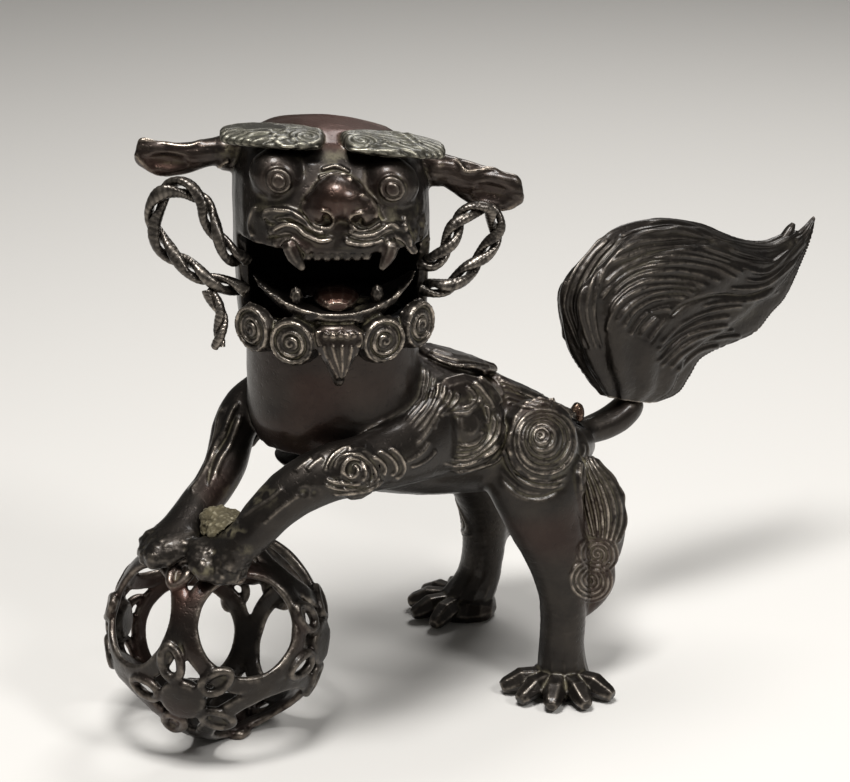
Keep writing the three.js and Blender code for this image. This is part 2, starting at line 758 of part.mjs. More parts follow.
function tailStemForm(grow = 0) {
  const rump = TAIL_ROOT_HEIGHT;
  const r = TAIL_STEM_RADIUS;
  const stations = [
    [vector(0, RUMP_BACK - 8, rump), r * 0.85, r * 0.85],
    [vector(0, RUMP_BACK + 2, rump), r * 0.88, r * 0.88],
    [vector(0, RUMP_BACK + 13, rump + 1.5), r, r],
    [vector(0, RUMP_BACK + 22, rump + 6), r, r],
    [vector(0, RUMP_BACK + 24, rump + 14), r * 0.9, r],
  ];
  return limb(stations, { steps: 8, sides: 10, grow });
}

// Plume: the back edge and the front edge of each section, behind the rump and above the tail's root,
// then its share of the thickness.
const PLUME_SECTIONS = [
  [[8, 13.5], [35.4, 5.8], 0.46],
  [[0.9, 22.3], [45.4, 8.8], 0.75],
  [[-7, 34], [50.5, 14.5], 0.93],
  [[-11, 48], [56, 20.5], 1],
  [[-11.9, 59.9], [66, 22.6], 1],
  [[-4, 68], [76, 23.8], 1],
  [[12.2, 79.3], [86, 25.8], 0.95],
  [[32.8, 80.5], [92.5, 31.5], 0.86],
  [[54.4, 75.1], [98.6, 36.6], 0.75],
  [[72, 67], [103, 43.4], 0.6],
  [[87.2, 62.6], [107.4, 51.4], 0.43],
  [[99.5, 64], [110.4, 56], 0.27],
  [[107, 64], [112.5, 60.5], 0.16],
  [[114.6, 69], [115.2, 67.4], 0.05],
];

// The shorter of the two points that the plume ends in.
const PLUME_SPUR = [
  [97, 59, 2.4],
  [102, 65, 2],
  [104, 67.6, 0.9],
];

const behindRump = ([y, z]) => vector(0, RUMP_BACK + y, TAIL_ROOT_HEIGHT + z);

function plumeForm(grow = 0) {
  const rings = PLUME_SECTIONS.map(([back, front, thick]) => {
    const [a, b] = [behindRump(back), behindRump(front)];
    const reach = a.distanceTo(b) / 2 + grow;
    const way = b.clone().sub(a).normalize();
    const half = (thick * PLUME_THICKNESS) / 2 + grow;
    const ring = oval(a.lerp(b, 0.5), X_AXIS, way, half, reach, PLUME_RIBS * 4);
    return grow ? ring : ribbed(ring, PLUME_RIB_SHARE);
  });
  const spur = limb(
    PLUME_SPUR.map(([y, z, half]) => [behindRump([y, z]), half, half]),
    { steps: 3, sides: 8, grow },
  );
  return skinned(rings).add(spur);
}

function tailStem() {
  return cut(tailStemForm(), bodyForm(SEAM), plumeForm(SEAM));
}

function tailRivet() {
  const y = RUMP_BACK - 3;
  const r = TAIL_RIVET_RADIUS;
  const centre = vector(0, y, bodyAt(y).back + r * 1.3);
  const bead = ellipsoid(centre, vector(r, r, r * 1.6));
  return cut(bead, bodyForm(SEAM), tailStemForm(SEAM), leafForm("rump_leaf", SEAM));
}

// Head: height share, then half width, front and back as shares of their full sizes.
const HEAD_SECTIONS = [
  [0, 0.96, 0.9, 0.95],
  [0.1, 0.98, 0.9, 0.97],
  [0.28, 0.99, 0.94, 1],
  [0.42, 1, 1, 1],
  [0.6, 1, 0.97, 0.97],
  [0.75, 0.99, 0.84, 0.93],
  [0.87, 0.9, 0.7, 0.8],
  [0.95, 0.66, 0.5, 0.58],
  [0.99, 0.33, 0.26, 0.3],
  [1.0, 0.1, 0.1, 0.1],
];
const HEAD_POWER = 2.4;

function headAt(z) {
  const share = THREE.MathUtils.clamp(z / HEAD_HEIGHT, 0, 1);
  const next = Math.max(1, HEAD_SECTIONS.findIndex(([s]) => s >= share));
  const [low, high] = [HEAD_SECTIONS[next - 1], HEAD_SECTIONS[next]];
  const part = (share - low[0]) / (high[0] - low[0]);
  const [, width, front, back] = low.map((v, i) => THREE.MathUtils.lerp(v, high[i], part));
  return { halfWidth: width * HEAD_HALF_WIDTH, front: front * HEAD_FRONT, back: back * HEAD_BACK };
}

function headRing(z, grow, lift = 0) {
  const { halfWidth, front, back } = headAt(z);
  const bend = (v) => Math.sign(v) * Math.abs(v) ** (2 / HEAD_POWER);
  const sides = 26;
  return Array.from({ length: sides }, (_, i) => {
    const turn = (i / sides) * 2 * Math.PI;
    const reach = Math.max((Math.sin(turn) < 0 ? front : back) + grow, 0.5);
    const wide = Math.max(halfWidth + grow, 0.5);
    return vector(wide * bend(Math.cos(turn)), reach * bend(Math.sin(turn)), z + lift);
  });
}

function headForm(grow = 0) {
  const rings = HEAD_SECTIONS.map(([share], i) => {
    const end = i === 0 ? -1 : i === HEAD_SECTIONS.length - 1 ? 1 : 0;
    return headRing(share * HEAD_HEIGHT, grow, end * grow);
  });
  return skinned(rings);
}

// How far forward the face is at a place on it.
function faceFront(x, z) {
  const { halfWidth, front } = headAt(z);
  const share = Math.min(Math.abs(x) / halfWidth, 0.999);
  return -front * (1 - share ** HEAD_POWER) ** (1 / HEAD_POWER);
}

// The gap between the jaws, and the hollow of the head, which opens into the bowl below.
function mouthCut(grow = 0) {
  const wide = HEAD_HALF_WIDTH + 20;
  return block(
    vector(-wide, -HEAD_FRONT - 20, MOUTH_BOTTOM - grow),
    vector(wide, -MOUTH_BACK + grow, MOUTH_TOP + grow),
  );
}

// Folds of the muzzle, as places across and up the face: round the nose, under it, and where the lip
// lifts over each fang.
const FACE_FOLDS = [
  [[4.5, 42.4], [8.5, 40.2], [13.6, 41], [18.8, 43.5], [23, 42.2]],
  [[3, 38.4], [8, 37], [13, 37.6]],
  [[14.6, 35], [15.6, 38.8], [19.4, 40.6], [24, 37.6], [27, 31.5]],
  [[-24, 43.2], [-19, 46], [-13, 45.2], [-8.8, 42.2], [-4.5, 40.9]],
  [[-21.9, 38.9], [-17.8, 41.9], [-13.1, 41.6], [-8.5, 38.8], [-3.1, 38.4]],
  [[-20.5, 35.4], [-16.3, 39], [-11.6, 37], [-9.2, 35.2]],
];

function faceFolds(grow = 0) {
  const folds = FACE_FOLDS.map((places) => {
    const stations = places.map(([x, z]) => [vector(x, faceFront(x, z) + 0.3, z), FOLD_RADIUS, FOLD_RADIUS]);
    return limb(stations, { steps: 6, sides: 6, grow, across: Y_AXIS });
  });
  return joined(...folds);
}

function headShell() {
  const rows = [0.07, 0.28, 0.42, 0.6, 0.75, 0.87, 0.93];
  const hollow = skinned(rows.map((share) => headRing(share * HEAD_HEIGHT, -HEAD_WALL)));
  const throat = cylinder(NECK_RADIUS - CASTING_WALL - LID_FIT - LID_RIM_WALL, -2, HEAD_HEIGHT * 0.2);
  return cut(headForm(), hollow, throat, mouthCut()).add(faceFolds());
}

// The ring under the head that keeps the lid central in the neck.
function lidRim() {
  const outer = NECK_RADIUS - CASTING_WALL - LID_FIT;
  const ring = cylinder(outer, -LID_RIM_DEPTH, -SEAM);
  return cut(ring, cylinder(outer - LID_RIM_WALL, -LID_RIM_DEPTH - 1, 1));
}

// The skull and cheeks without the gap between the jaws.
function skullForm(grow) {
  return headForm(grow).subtract(mouthCut(-grow));
}

// Lower jaw: height, half width and depth from the corner of the mouth to the chin, each at its outer face.
const JAW_SECTIONS = [
  [MOUTH_BOTTOM + SEAM, 17.5, 21],
  [MOUTH_BOTTOM + 5, 22.5, 22.5],
  [LIP_CORNER_HEIGHT, 28.5, 22.5],
];
const JAW_WALL = 6;
const JAW_FLOOR = 2.5;

function jawRing(height, wide, deep) {
  return oval(vector(0, -MOUTH_BACK - 3, height), X_AXIS, Y_AXIS, wide, deep, 24, 2.3);
}

function jawForm(grow) {
  const last = JAW_SECTIONS.length - 1;
  const rings = JAW_SECTIONS.map(([z, wide, deep], i) => {
    const end = i === 0 ? -grow : i === last ? grow : 0;
    return jawRing(z + end, wide + grow, deep + grow);
  });
  return skinned(rings);
}

// How far the centre of the lip's round dip lies above its lowest place.
function lipDip() {
  const corner = JAW_SECTIONS.at(-1)[1];
  const rise = LIP_CORNER_HEIGHT - LIP_FRONT_HEIGHT;
  return (corner ** 2 + rise ** 2) / (2 * rise);
}

function lipHeight(x) {
  const radius = lipDip();
  return LIP_FRONT_HEIGHT + radius - Math.sqrt(radius ** 2 - x ** 2);
}

function lowerJaw(grow = 0) {
  const wide = HEAD_HALF_WIDTH + 5;
  const behind = block(vector(-wide, -MOUTH_BACK - SEAM + grow, -wide), vector(wide, wide, wide));
  const [low, high] = [JAW_SECTIONS[0], JAW_SECTIONS.at(-1)];
  const shrink = JAW_WALL + grow;
  const floor = skinned([
    jawRing(low[0] + JAW_FLOOR + grow, low[1] - shrink + 1, low[2] - shrink + 1),
    jawRing(high[0] + 1, high[1] - shrink, high[2] - shrink),
  ]);
  const radius = lipDip() - grow;
  const dip = new THREE.CylinderGeometry(radius, radius, FLOOR_BLOCK, 56);
  dip.translate(0, 0, LIP_FRONT_HEIGHT + lipDip());
  return cut(jawForm(grow), behind, floor, solidFrom(dip));
}

function tongue() {
  const middle = MOUTH_BOTTOM + SEAM + JAW_FLOOR + 4;
  const stations = [
    [vector(0, -MOUTH_BACK - 4, middle - 1.4), 6, 2.9],
    [vector(0, -MOUTH_BACK - 9, middle - 0.2), 8, 3.7],
    [vector(0, -MOUTH_BACK - 16, middle + 0.4), 8, 3.6],
    [vector(0, -MOUTH_BACK - 21.5, middle - 0.4), 5.4, 2.5],
  ];
  const body = limb(stations, { steps: 5, sides: 10 });
  return cut(body, lowerJaw(SEAM));
}

function nose() {
  const front = faceFront(0, NOSE_HEIGHT);
  const half = NOSE_WIDTH / 2;
  const lobe = (x, y, z, halfSizes) =>
    ellipsoid(vector(NOSE_ASIDE + x, front + y, NOSE_HEIGHT + z), vector(...halfSizes));
  const wings = [-1, 1].map((side) => lobe(side * (half - 5), -0.5, -3, [5, 6.5, 5.2]));
  const form = joined(lobe(0, -1, 1, [half - 3, 8, 8]), lobe(0, 5, 12, [6.5, 7, 3.5]), ...wings);
  return cut(form, headForm(SEAM), faceFolds(SEAM));
}

function eyeCentre(side) {
  const x = (side * EYE_APART) / 2;
  return vector(x, faceFront(x, EYE_HEIGHT) + 2.5, EYE_HEIGHT);
}

function eyeForm(side, grow = 0) {
  const r = EYE_RADIUS + grow;
  return ellipsoid(eyeCentre(side), vector(r, r * 0.85, r * 0.92));
}

// The pupil is a low button inside a ring.
function eye(side) {
  const r = EYE_RING_RADIUS;
  const steps = [
    [0, -3],
    [r, -3],
    [r, 0.2],
    [r * 0.82, 1.1],
    [r * 0.62, 0.3],
    [r * 0.42, 1.2],
    [0, 1.5],
  ];
  const front = eyeCentre(side).add(vector(0, -EYE_RADIUS * 0.85, 0));
  const pupil = turned(steps, 12, front, Y_AXIS.clone().negate());
  return cut(joined(eyeForm(side), pupil), headForm(SEAM), nosePad(), faceFolds(SEAM));
}

// The nose with a margin, so that the eyes stop short of it.
function nosePad() {
  const front = faceFront(0, NOSE_HEIGHT);
  return ellipsoid(vector(NOSE_ASIDE, front + 1, NOSE_HEIGHT + 3), vector(NOSE_WIDTH / 2 - 1.5, 10, 13));
}

// Brow plates: flat lobes that stand forward over the eyes.
// Each row is its share outward, its middle, how far it lies below the first, and its half depth.
const BROW_ROWS = [
  [0.08, -20.5, 0, 8.5],
  [0.4, -19.5, 0.2, 11.5],
  [0.75, -17.5, 0.8, 10.5],
  [1, -17, 1.8, 6],
];

function browPlate(side) {
  const tilt = vector(0, Math.cos(radians(BROW_TILT)), Math.sin(radians(BROW_TILT)));
  const stations = BROW_ROWS.map(([share, y, drop, deep]) => {
    const x = side * BROW_LENGTH * (0.06 + share);
    return [vector(x, y, HEAD_HEIGHT - BROW_DROP - drop), deep, BROW_THICKNESS / 2];
  });
  const plate = limb(stations, { steps: 6, sides: 10, across: tilt });
  return cut(plate, headForm(SEAM), eyeForm(side, SEAM));
}

// Ears: a knob at the root and a hollow, spoon-shaped lobe. The left lobe hangs lower and is the broader one.
// Each station is how far it lies short of the tip and below the root, then its half thickness and
// half height.
const EAR_LINE = {
  1: [
    [42, 0, 4, 5.5],
    [33, 0.5, 4, 5],
    [22, 5, 3.6, 7.2],
    [12, 8.8, 2.8, 8.9],
    [3, 7.5, 2, 6],
  ],
  "-1": [
    [42, 0, 4, 5.5],
    [33, 0, 4, 4.6],
    [22, 3.4, 3.6, 5],
    [12, 5.4, 2.8, 6.2],
    [3, 3.2, 2, 5],
  ],
};
const EAR_SETBACK = 2;

function earPoint(side, short, drop) {
  return vector(side * (EAR_SPAN / 2 - short), -EAR_SETBACK, HEAD_HEIGHT - EAR_DROP - drop);
}

function earForm(side, grow = 0) {
  const station = ([short, drop, thick, tall]) => [earPoint(side, short, drop), thick, tall];
  const lobe = limb(EAR_LINE[side].map(station), { steps: 8, sides: 10, grow, across: Y_AXIS });
  const [short, drop] = EAR_LINE[side][1];
  const r = EAR_KNOB_RADIUS + grow;
  return lobe.add(ellipsoid(earPoint(side, short, drop + 1.5), vector(r, r * 0.9, r * 1.15)));
}

function ear(side) {
  const [short, drop, thick, tall] = EAR_LINE[side][3];
  const front = earPoint(side, short, drop).add(vector(0, -thick - 2.2, 0));
  const scoop = ellipsoid(front, vector(9.5, 4.6, tall * 0.72));
  return cut(earForm(side), headForm(SEAM), eyeForm(side, SEAM), scoop);
}

// Ribbon loops: two strands twisted together, bent into a loop beside the cheek.
// The right one stands out further.
const RIBBON_LINE = {
  1: [
    [27, -12, 23],
    [33.5, -18, 23.5],
    [40, -17, 31],
    [43.5, -14, 40],
    [49.5, -11, 45],
    [55.5, -9, 44.5],
    [58, -8, 35],
    [54.5, -9, 26],
    [48, -12, 19.5],
    [40, -16, 14.5],
    [28, -12, 13.5],
  ],
  "-1": [
    [27, -12, 24],
    [36, -17, 28],
    [42.5, -14, 37],
    [45, -12, 43],
    [51.5, -10, 46.5],
    [58.5, -9, 44.5],
    [62.5, -8, 36.5],
    [60, -9, 29.5],
    [52.5, -12, 24],
    [43.8, -15, 19],
    [28, -12, 14],
  ],
};

function ribbonForm(side, grow = 0) {
  const line = new THREE.CatmullRomCurve3(RIBBON_LINE[side].map(([x, y, z]) => vector(side * x, y, z)));
  const steps = 30;
  const rings = Array.from({ length: steps + 1 }, (_, i) => {
    const t = i / steps;
    const along = line.getTangent(t);
    const flat = Y_AXIS.clone().addScaledVector(along, -Y_AXIS.dot(along)).normalize();
    const rise = vector(0, 0, 0).crossVectors(along, flat);
    const twist = t * RIBBON_TWISTS * Math.PI;
    const wide = flat.clone().multiplyScalar(Math.cos(twist)).addScaledVector(rise, Math.sin(twist));
    const thin = vector(0, 0, 0).crossVectors(along, wide);
    return oval(line.getPoint(t), wide, thin, RIBBON_RADIUS + grow, RIBBON_RADIUS * 0.62 + grow, 6);
  });
  return skinned(rings);
}

function ribbonLoop(side) {
  const beard = beardForm(side, OUTER_CURL, SEAM);
  return cut(ribbonForm(side), skullForm(SEAM), lowerJaw(SEAM), earForm(side, SEAM), beard);
}

// The loose end of the right ribbon, which hangs beside the beard.
function ribbonEnd() {
  const stations = [
    [vector(-44.5, -16, 15.5), 2.8, 2],
    [vector(-40, -18, 8), 2.8, 2],
    [vector(-40.5, -19, 0), 2.6, 2.4],
    [vector(-42, -19, -3.5), 3, 2.8],
  ];
  const end = limb(stations, { steps: 6, sides: 7 });
  return cut(end, ribbonForm(-1, SEAM), headForm(SEAM), lowerJaw(SEAM), beardForm(-1, OUTER_CURL, SEAM));
}

// Beard: curls on the rim of the lid, each its distance from the middle, its height and radius.
const OUTER_CURL = { out: 27.5, rise: 4, radius: 9.6 };
const INNER_CURL = { out: 15, rise: 1.5, radius: 9.4 };

function beardForm(side, { out, rise, radius }, grow = 0) {
  const reach = NECK_RADIUS + BEARD_PROUD;
  const y = -Math.sqrt(reach * reach - out * out);
  const outward = vector(side * out, y, 0).normalize();
  const disc = new THREE.CylinderGeometry(radius * 0.8 + grow, radius + grow, BEARD_THICKNESS + 2 * grow, 20);
  disc.applyQuaternion(new THREE.Quaternion().setFromUnitVectors(Y_AXIS, outward));
  disc.translate(side * out, y, rise);
  return solidFrom(disc);
}

// The room that the neck and its lid clearance need.
function neckRoom() {
  return cylinder(NECK_RADIUS + LID_FIT, -60, -SEAM + 0.01);
}

// A curl fills its form with stepped rings round a button.
function curlForm(side, { out, rise, radius }) {
  const half = BEARD_THICKNESS / 2;
  const steps = [
    [0, -half],
    [radius, -half],
    [radius * 0.8, half - 0.1],
    [radius * 0.6, half - 1.4],
    [radius * 0.48, half - 0.2],
    [radius * 0.28, half - 1.3],
    [radius * 0.2, half],
    [0, half],
  ];
  const reach = NECK_RADIUS + BEARD_PROUD;
  const centre = vector(side * out, -Math.sqrt(reach * reach - out * out), 0);
  const outward = centre.clone().normalize();
  return turned(steps, 14, centre.setZ(rise), outward);
}

function beardCurl(side, place) {
  const tools = [headForm(SEAM), neckRoom(), lowerJaw(SEAM)];
  if (place === OUTER_CURL) tools.push(beardForm(side, INNER_CURL, SEAM));
  return cut(curlForm(side, place), ...tools, chinTuftForm(SEAM));
}

// The pointed tuft of hair under the chin.
function chinTuftForm(grow = 0) {
  const y = -NECK_RADIUS - BEARD_PROUD - 1.5;
  const stations = [
    [vector(0, y, 6.5), 8.5, 3],
    [vector(0, y - 0.5, 1), 8, 3.4],
    [vector(0, y, -6), 4.5, 3],
    [vector(0, y + 1, -13), 1.6, 1.8],
  ];
  return limb(stations, { steps: 6, sides: 10, grow });
}

function chinTuft() {
  return cut(chinTuftForm(), headForm(SEAM), neckRoom(), lowerJaw(SEAM));
}

// Teeth: a row of incisors between two fangs, and two stubs in the lower jaw.
function upperTeeth() {
  const count = 7;
  const spread = 20;
  const tooth = (i) => {
    const x = (i / (count - 1) - 0.5) * spread;
    const y = faceFront(x, MOUTH_TOP + 2);
    return ellipsoid(vector(x, y + 2.4, MOUTH_TOP - 1), vector(2.1, 2, 2.8), new THREE.Quaternion(), [6, 4]);
  };
  return cut(joined(...Array.from({ length: count }, (_, i) => tooth(i))), skullForm(SEAM), faceFolds(SEAM));
}

// Fangs, from the lip to the tip: place across the face, height above the mouth's top edge, and radius.
const FANG_LINE = {
  1: [
    [18.4, 2, 2.9],
    [17.6, -1.5, 2.6],
    [15.4, -6, 1.1],
  ],
  "-1": [
    [-15.8, 1.5, 2.9],
    [-14.4, -1.8, 2.6],
    [-12, -5.4, 1.1],
  ],
};

function fang(side) {
  const stations = FANG_LINE[side].map(([x, rise, r]) => {
    const y = faceFront(x, MOUTH_TOP + 2) - 0.5;
    return [vector(x, y, MOUTH_TOP + rise), r, r];
  });
  return cut(limb(stations, { steps: 4, sides: 7 }), skullForm(SEAM), faceFolds(SEAM));
}

function lowerTooth(side) {
  const x = side * 14;
  const rim = lipHeight(x);
  const centre = vector(x, faceFront(x, rim) + 3, rim + 2.8);
  const stub = ellipsoid(centre, vector(2.4, 2.4, 3.8), new THREE.Quaternion(), [8, 5]);
  return cut(stub, lowerJaw(SEAM));
}

// The skull leans to its left: heights above the mouth fall towards that side.
function lean(geometry) {
  const place = geometry.attributes.position;
  for (let i = 0; i < place.count; i += 1) {
    const share = THREE.MathUtils.smoothstep(place.getZ(i), MOUTH_BOTTOM + 12, MOUTH_TOP + 19);
    place.setZ(i, place.getZ(i) - place.getX(i) * Math.tan(radians(SKULL_LEAN)) * share);
  }
  return geometry;
}

function geometryOf(solid) {
  const { vertProperties, triVerts } = solid.getMesh();
  const geometry = new THREE.BufferGeometry();
  geometry.setAttribute("position", new THREE.BufferAttribute(new Float32Array(vertProperties), 3));
  geometry.setIndex(new THREE.BufferAttribute(new Uint32Array(triVerts), 1));
  return geometry;
}

function named(name, geometry, material) {
  geometry.computeVertexNormals();
  const mesh = new THREE.Mesh(geometry, material);
  mesh.name = name;
  return mesh;
}

const lion = new THREE.Group();
const head = new THREE.Group();
const SIDES = { left: 1, right: -1 };

function addBody(name, solid, material = DARK_BRONZE) {
  lion.add(named(name, geometryOf(solid), material));
}

function addHead(name, solid, material = DARK_BRONZE) {
  head.add(named(name, lean(geometryOf(solid)), material));
}

addBody("body_shell", bodyShell());
addBody("pierced_ball", piercedBall());
lion.children.at(-1).applyMatrix4(ballPlace);
addBody("paw_solder", pawSolder(), SOLDER);
for (const [word, side] of Object.entries(SIDES)) {
  addBody(`foreleg_${word}`, foreleg(side));
  addBody(`hind_leg_${word}`, hindLeg(side));
  addBody(`shoulder_scroll_${word}`, shoulderScroll(side));
  addBody(`haunch_scroll_${word}`, haunchScroll(side));
  addBody(`elbow_scroll_${word}`, elbowScroll(side));
  addBody(`hock_tuft_${word}`, hockTuft(side));
  addBody(`hock_curl_${word}`, hockCurl(side));
}
addBody("nape_leaf", leaf("nape_leaf", []));
addBody("back_leaf", leaf("back_leaf", ["nape_leaf"]));
addBody("rump_leaf", leaf("rump_leaf", ["back_leaf"]));
addBody("tail_stem", tailStem());
addBody("tail_plume", plumeForm());
addBody("tail_rivet", tailRivet(), RUBBED_BRONZE);

addHead("head_shell", headShell());
addHead("lid_rim", lidRim());
addHead("lower_jaw", lowerJaw());
addHead("tongue", tongue(), RUBBED_BRONZE);
addHead("nose", nose(), RUBBED_BRONZE);
addHead("upper_teeth", upperTeeth());
addHead("chin_tuft", chinTuft(), RUBBED_BRONZE);
addHead("ribbon_end", ribbonEnd(), BRONZE_WIRE);
for (const [word, side] of Object.entries(SIDES)) {
  addHead(`eye_${word}`, eye(side));
  addHead(`brow_plate_${word}`, browPlate(side), DUSTY_BRONZE);
  addHead(`ear_${word}`, ear(side), RUBBED_BRONZE);
  addHead(`ribbon_loop_${word}`, ribbonLoop(side), BRONZE_WIRE);
  addHead(`beard_curl_outer_${word}`, beardCurl(side, OUTER_CURL));
  addHead(`beard_curl_inner_${word}`, beardCurl(side, INNER_CURL));
  addHead(`fang_${word}`, fang(side));
  addHead(`lower_tooth_${word}`, lowerTooth(side));
}
head.rotation.z = radians(HEAD_TURN);
head.position.z = NECK_TOP + SEAM;

// The whole stands on the floor, with the middle of its box over the origin.
const statue = new THREE.Group();
statue.add(lion, head);
statue.updateMatrixWorld(true);
const bounds = new THREE.Box3().setFromObject(statue, true);
const middle = bounds.getCenter(vector(0, 0, 0));
statue.position.set(-middle.x, -middle.y, -bounds.min.z);

export default statue;
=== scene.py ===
"""A cast bronze foo dog incense burner on a pierced ball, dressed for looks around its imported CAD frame.

Shapes are worked out in millimetres from the neck's axis on the floor, then put into the frame's metres.
The body faces -Y and its left side is +X. The head has its own axes, turned towards the lion's left.
Hair, folds and curls are carved along lines traced in the photograph. Each line is a list of places in
pixels of its 850 x 782 frame, which the camera below maps back onto the skin.
"""

import math

import bmesh
import bpy
import numpy as np
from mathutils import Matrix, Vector


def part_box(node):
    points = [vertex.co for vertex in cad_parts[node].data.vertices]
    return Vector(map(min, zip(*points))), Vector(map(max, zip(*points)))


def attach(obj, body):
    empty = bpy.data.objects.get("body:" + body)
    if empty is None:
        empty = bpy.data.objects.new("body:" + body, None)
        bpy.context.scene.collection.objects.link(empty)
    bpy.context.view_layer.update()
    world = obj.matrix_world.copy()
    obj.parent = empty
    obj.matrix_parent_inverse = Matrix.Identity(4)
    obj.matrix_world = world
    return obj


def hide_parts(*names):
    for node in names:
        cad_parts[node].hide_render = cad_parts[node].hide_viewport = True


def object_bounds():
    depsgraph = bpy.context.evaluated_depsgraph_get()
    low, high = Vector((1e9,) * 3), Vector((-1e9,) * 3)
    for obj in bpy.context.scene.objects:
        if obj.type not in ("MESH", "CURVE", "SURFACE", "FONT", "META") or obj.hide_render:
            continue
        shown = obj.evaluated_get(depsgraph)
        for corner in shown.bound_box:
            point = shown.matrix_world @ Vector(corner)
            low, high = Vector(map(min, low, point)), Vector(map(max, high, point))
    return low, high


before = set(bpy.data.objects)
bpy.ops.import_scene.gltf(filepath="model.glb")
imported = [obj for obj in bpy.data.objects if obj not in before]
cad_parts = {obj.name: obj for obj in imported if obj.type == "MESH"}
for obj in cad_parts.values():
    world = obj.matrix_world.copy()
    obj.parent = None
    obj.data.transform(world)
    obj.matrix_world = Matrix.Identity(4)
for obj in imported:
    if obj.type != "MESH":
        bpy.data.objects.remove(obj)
CAD_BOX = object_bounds()
MM = 0.001


def neck_axis():
    """The neck's axis in millimetres: the middle of the lid's rim."""
    low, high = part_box("lid_rim")
    return np.array([(low.x + high.x) / 2, (low.y + high.y) / 2, 0.0]) / MM


NECK = neck_axis()
HEAD_TURN = math.radians(61)
HEAD_LIFT = 150.3
SKULL_LEAN = math.tan(math.radians(5.5))

# Camera, floor and light

LOOK_AT = np.array([0.0, 40.0, 114.0])
CAMERA_AZIMUTH = math.radians(56)
CAMERA_RISE = math.radians(19)
CAMERA_AWAY = 1000.0
LENS_MM = 114.47
SENSOR_MM = 36.0
PHOTO_WIDTH = 850
PHOTO_HEIGHT = 782


def towards(azimuth, rise):
    """The direction from the lion to a viewer at an azimuth and a rise, in radians."""
    level = math.cos(rise)
    return np.array([math.sin(azimuth) * level, -math.cos(azimuth) * level, math.sin(rise)])


CAMERA_BACK = towards(CAMERA_AZIMUTH, CAMERA_RISE)
CAMERA_ACROSS = np.array([math.cos(CAMERA_AZIMUTH), math.sin(CAMERA_AZIMUTH), 0.0])
CAMERA_UP = np.cross(CAMERA_BACK, CAMERA_ACROSS)


def seen(points):
    """Where the camera sees points in the lion's millimetres: pixels across and down the photograph."""
    ahead = points - LOOK_AT
    scale = PHOTO_WIDTH * LENS_MM / SENSOR_MM / (CAMERA_AWAY - ahead @ CAMERA_BACK)
    across = PHOTO_WIDTH / 2 + scale * (ahead @ CAMERA_ACROSS)
    return np.stack([across, PHOTO_HEIGHT / 2 - scale * (ahead @ CAMERA_UP)], -1)


def add_camera():
    data = bpy.data.cameras.new("camera")
    data.sensor_width = SENSOR_MM
    data.lens = LENS_MM
    data.clip_end = 20
    camera = bpy.data.objects.new("camera", data)
    bpy.context.collection.objects.link(camera)
    camera.location = Vector((LOOK_AT + NECK + CAMERA_AWAY * CAMERA_BACK) * MM)
    camera.rotation_euler = Vector(CAMERA_BACK).to_track_quat("Z", "Y").to_euler()
    bpy.context.scene.camera = camera


add_camera()


def linear(code):
    """An sRGB hex value as linear red, green, blue and alpha."""
    parts = [int(code[i : i + 2], 16) / 255 for i in (0, 2, 4)]
    return [c / 12.92 if c <= 0.04045 else ((c + 0.055) / 1.055) ** 2.4 for c in parts] + [1.0]


def add(tree, kind, settings=None, links=None):
    """One node with its settings, which are properties or its inputs' values, and its inputs' links."""
    node = tree.nodes.new(kind)
    for name, value in (settings or {}).items():
        if isinstance(name, str) and hasattr(node, name) and name not in node.inputs:
            setattr(node, name, value)
        else:
            node.inputs[name].default_value = value
    for name, socket in (links or {}).items():
        tree.links.new(socket, node.inputs[name])
    return node


def new_material(name):
    material = bpy.data.materials.new(name)
    material.use_nodes = True
    material.node_tree.nodes.clear()
    return material, material.node_tree


def softbox(name, azimuth, rise, away, size, watts):
    """A square lamp that looks at the lion's middle."""
    data = bpy.data.lights.new(name, "AREA")
    data.size = size
    data.energy = watts
    lamp = bpy.data.objects.new(name, data)
    bpy.context.collection.objects.link(lamp)
    back = towards(math.radians(azimuth), math.radians(rise))
    lamp.location = Vector((LOOK_AT + NECK) * MM + back * away)
    lamp.rotation_euler = Vector(back).to_track_quat("Z", "Y").to_euler()


def about_z(angle):
    """A turn about the upright axis, as a matrix."""
    across, over = math.cos(angle), math.sin(angle)
    return np.array([[across, -over, 0], [over, across, 0], [0, 0, 1]])


def add_light():
    """A large soft lamp high in front, and smaller ones at the side and behind, in a grey room."""
    softbox("key_softbox", 38, 70, 1.3, 0.4, 22)
    softbox("side_softbox", 100, 40, 1.3, 0.25, 7)
    softbox("rear_softbox", 215, 50, 1.4, 0.5, 9)
    world = bpy.data.worlds.new("studio")
    world.use_nodes = True
    world.node_tree.nodes["Background"].inputs["Color"].default_value = linear("b9b8b6")
    world.node_tree.nodes["Background"].inputs["Strength"].default_value = 0.28
    bpy.context.scene.world = world


SWEEP_HALF_WIDTH = 4.0
SWEEP_FRONT = -3.0
SWEEP_BEND_START = 2.2
SWEEP_BEND_RADIUS = 1.2
SWEEP_TOP = 5.0


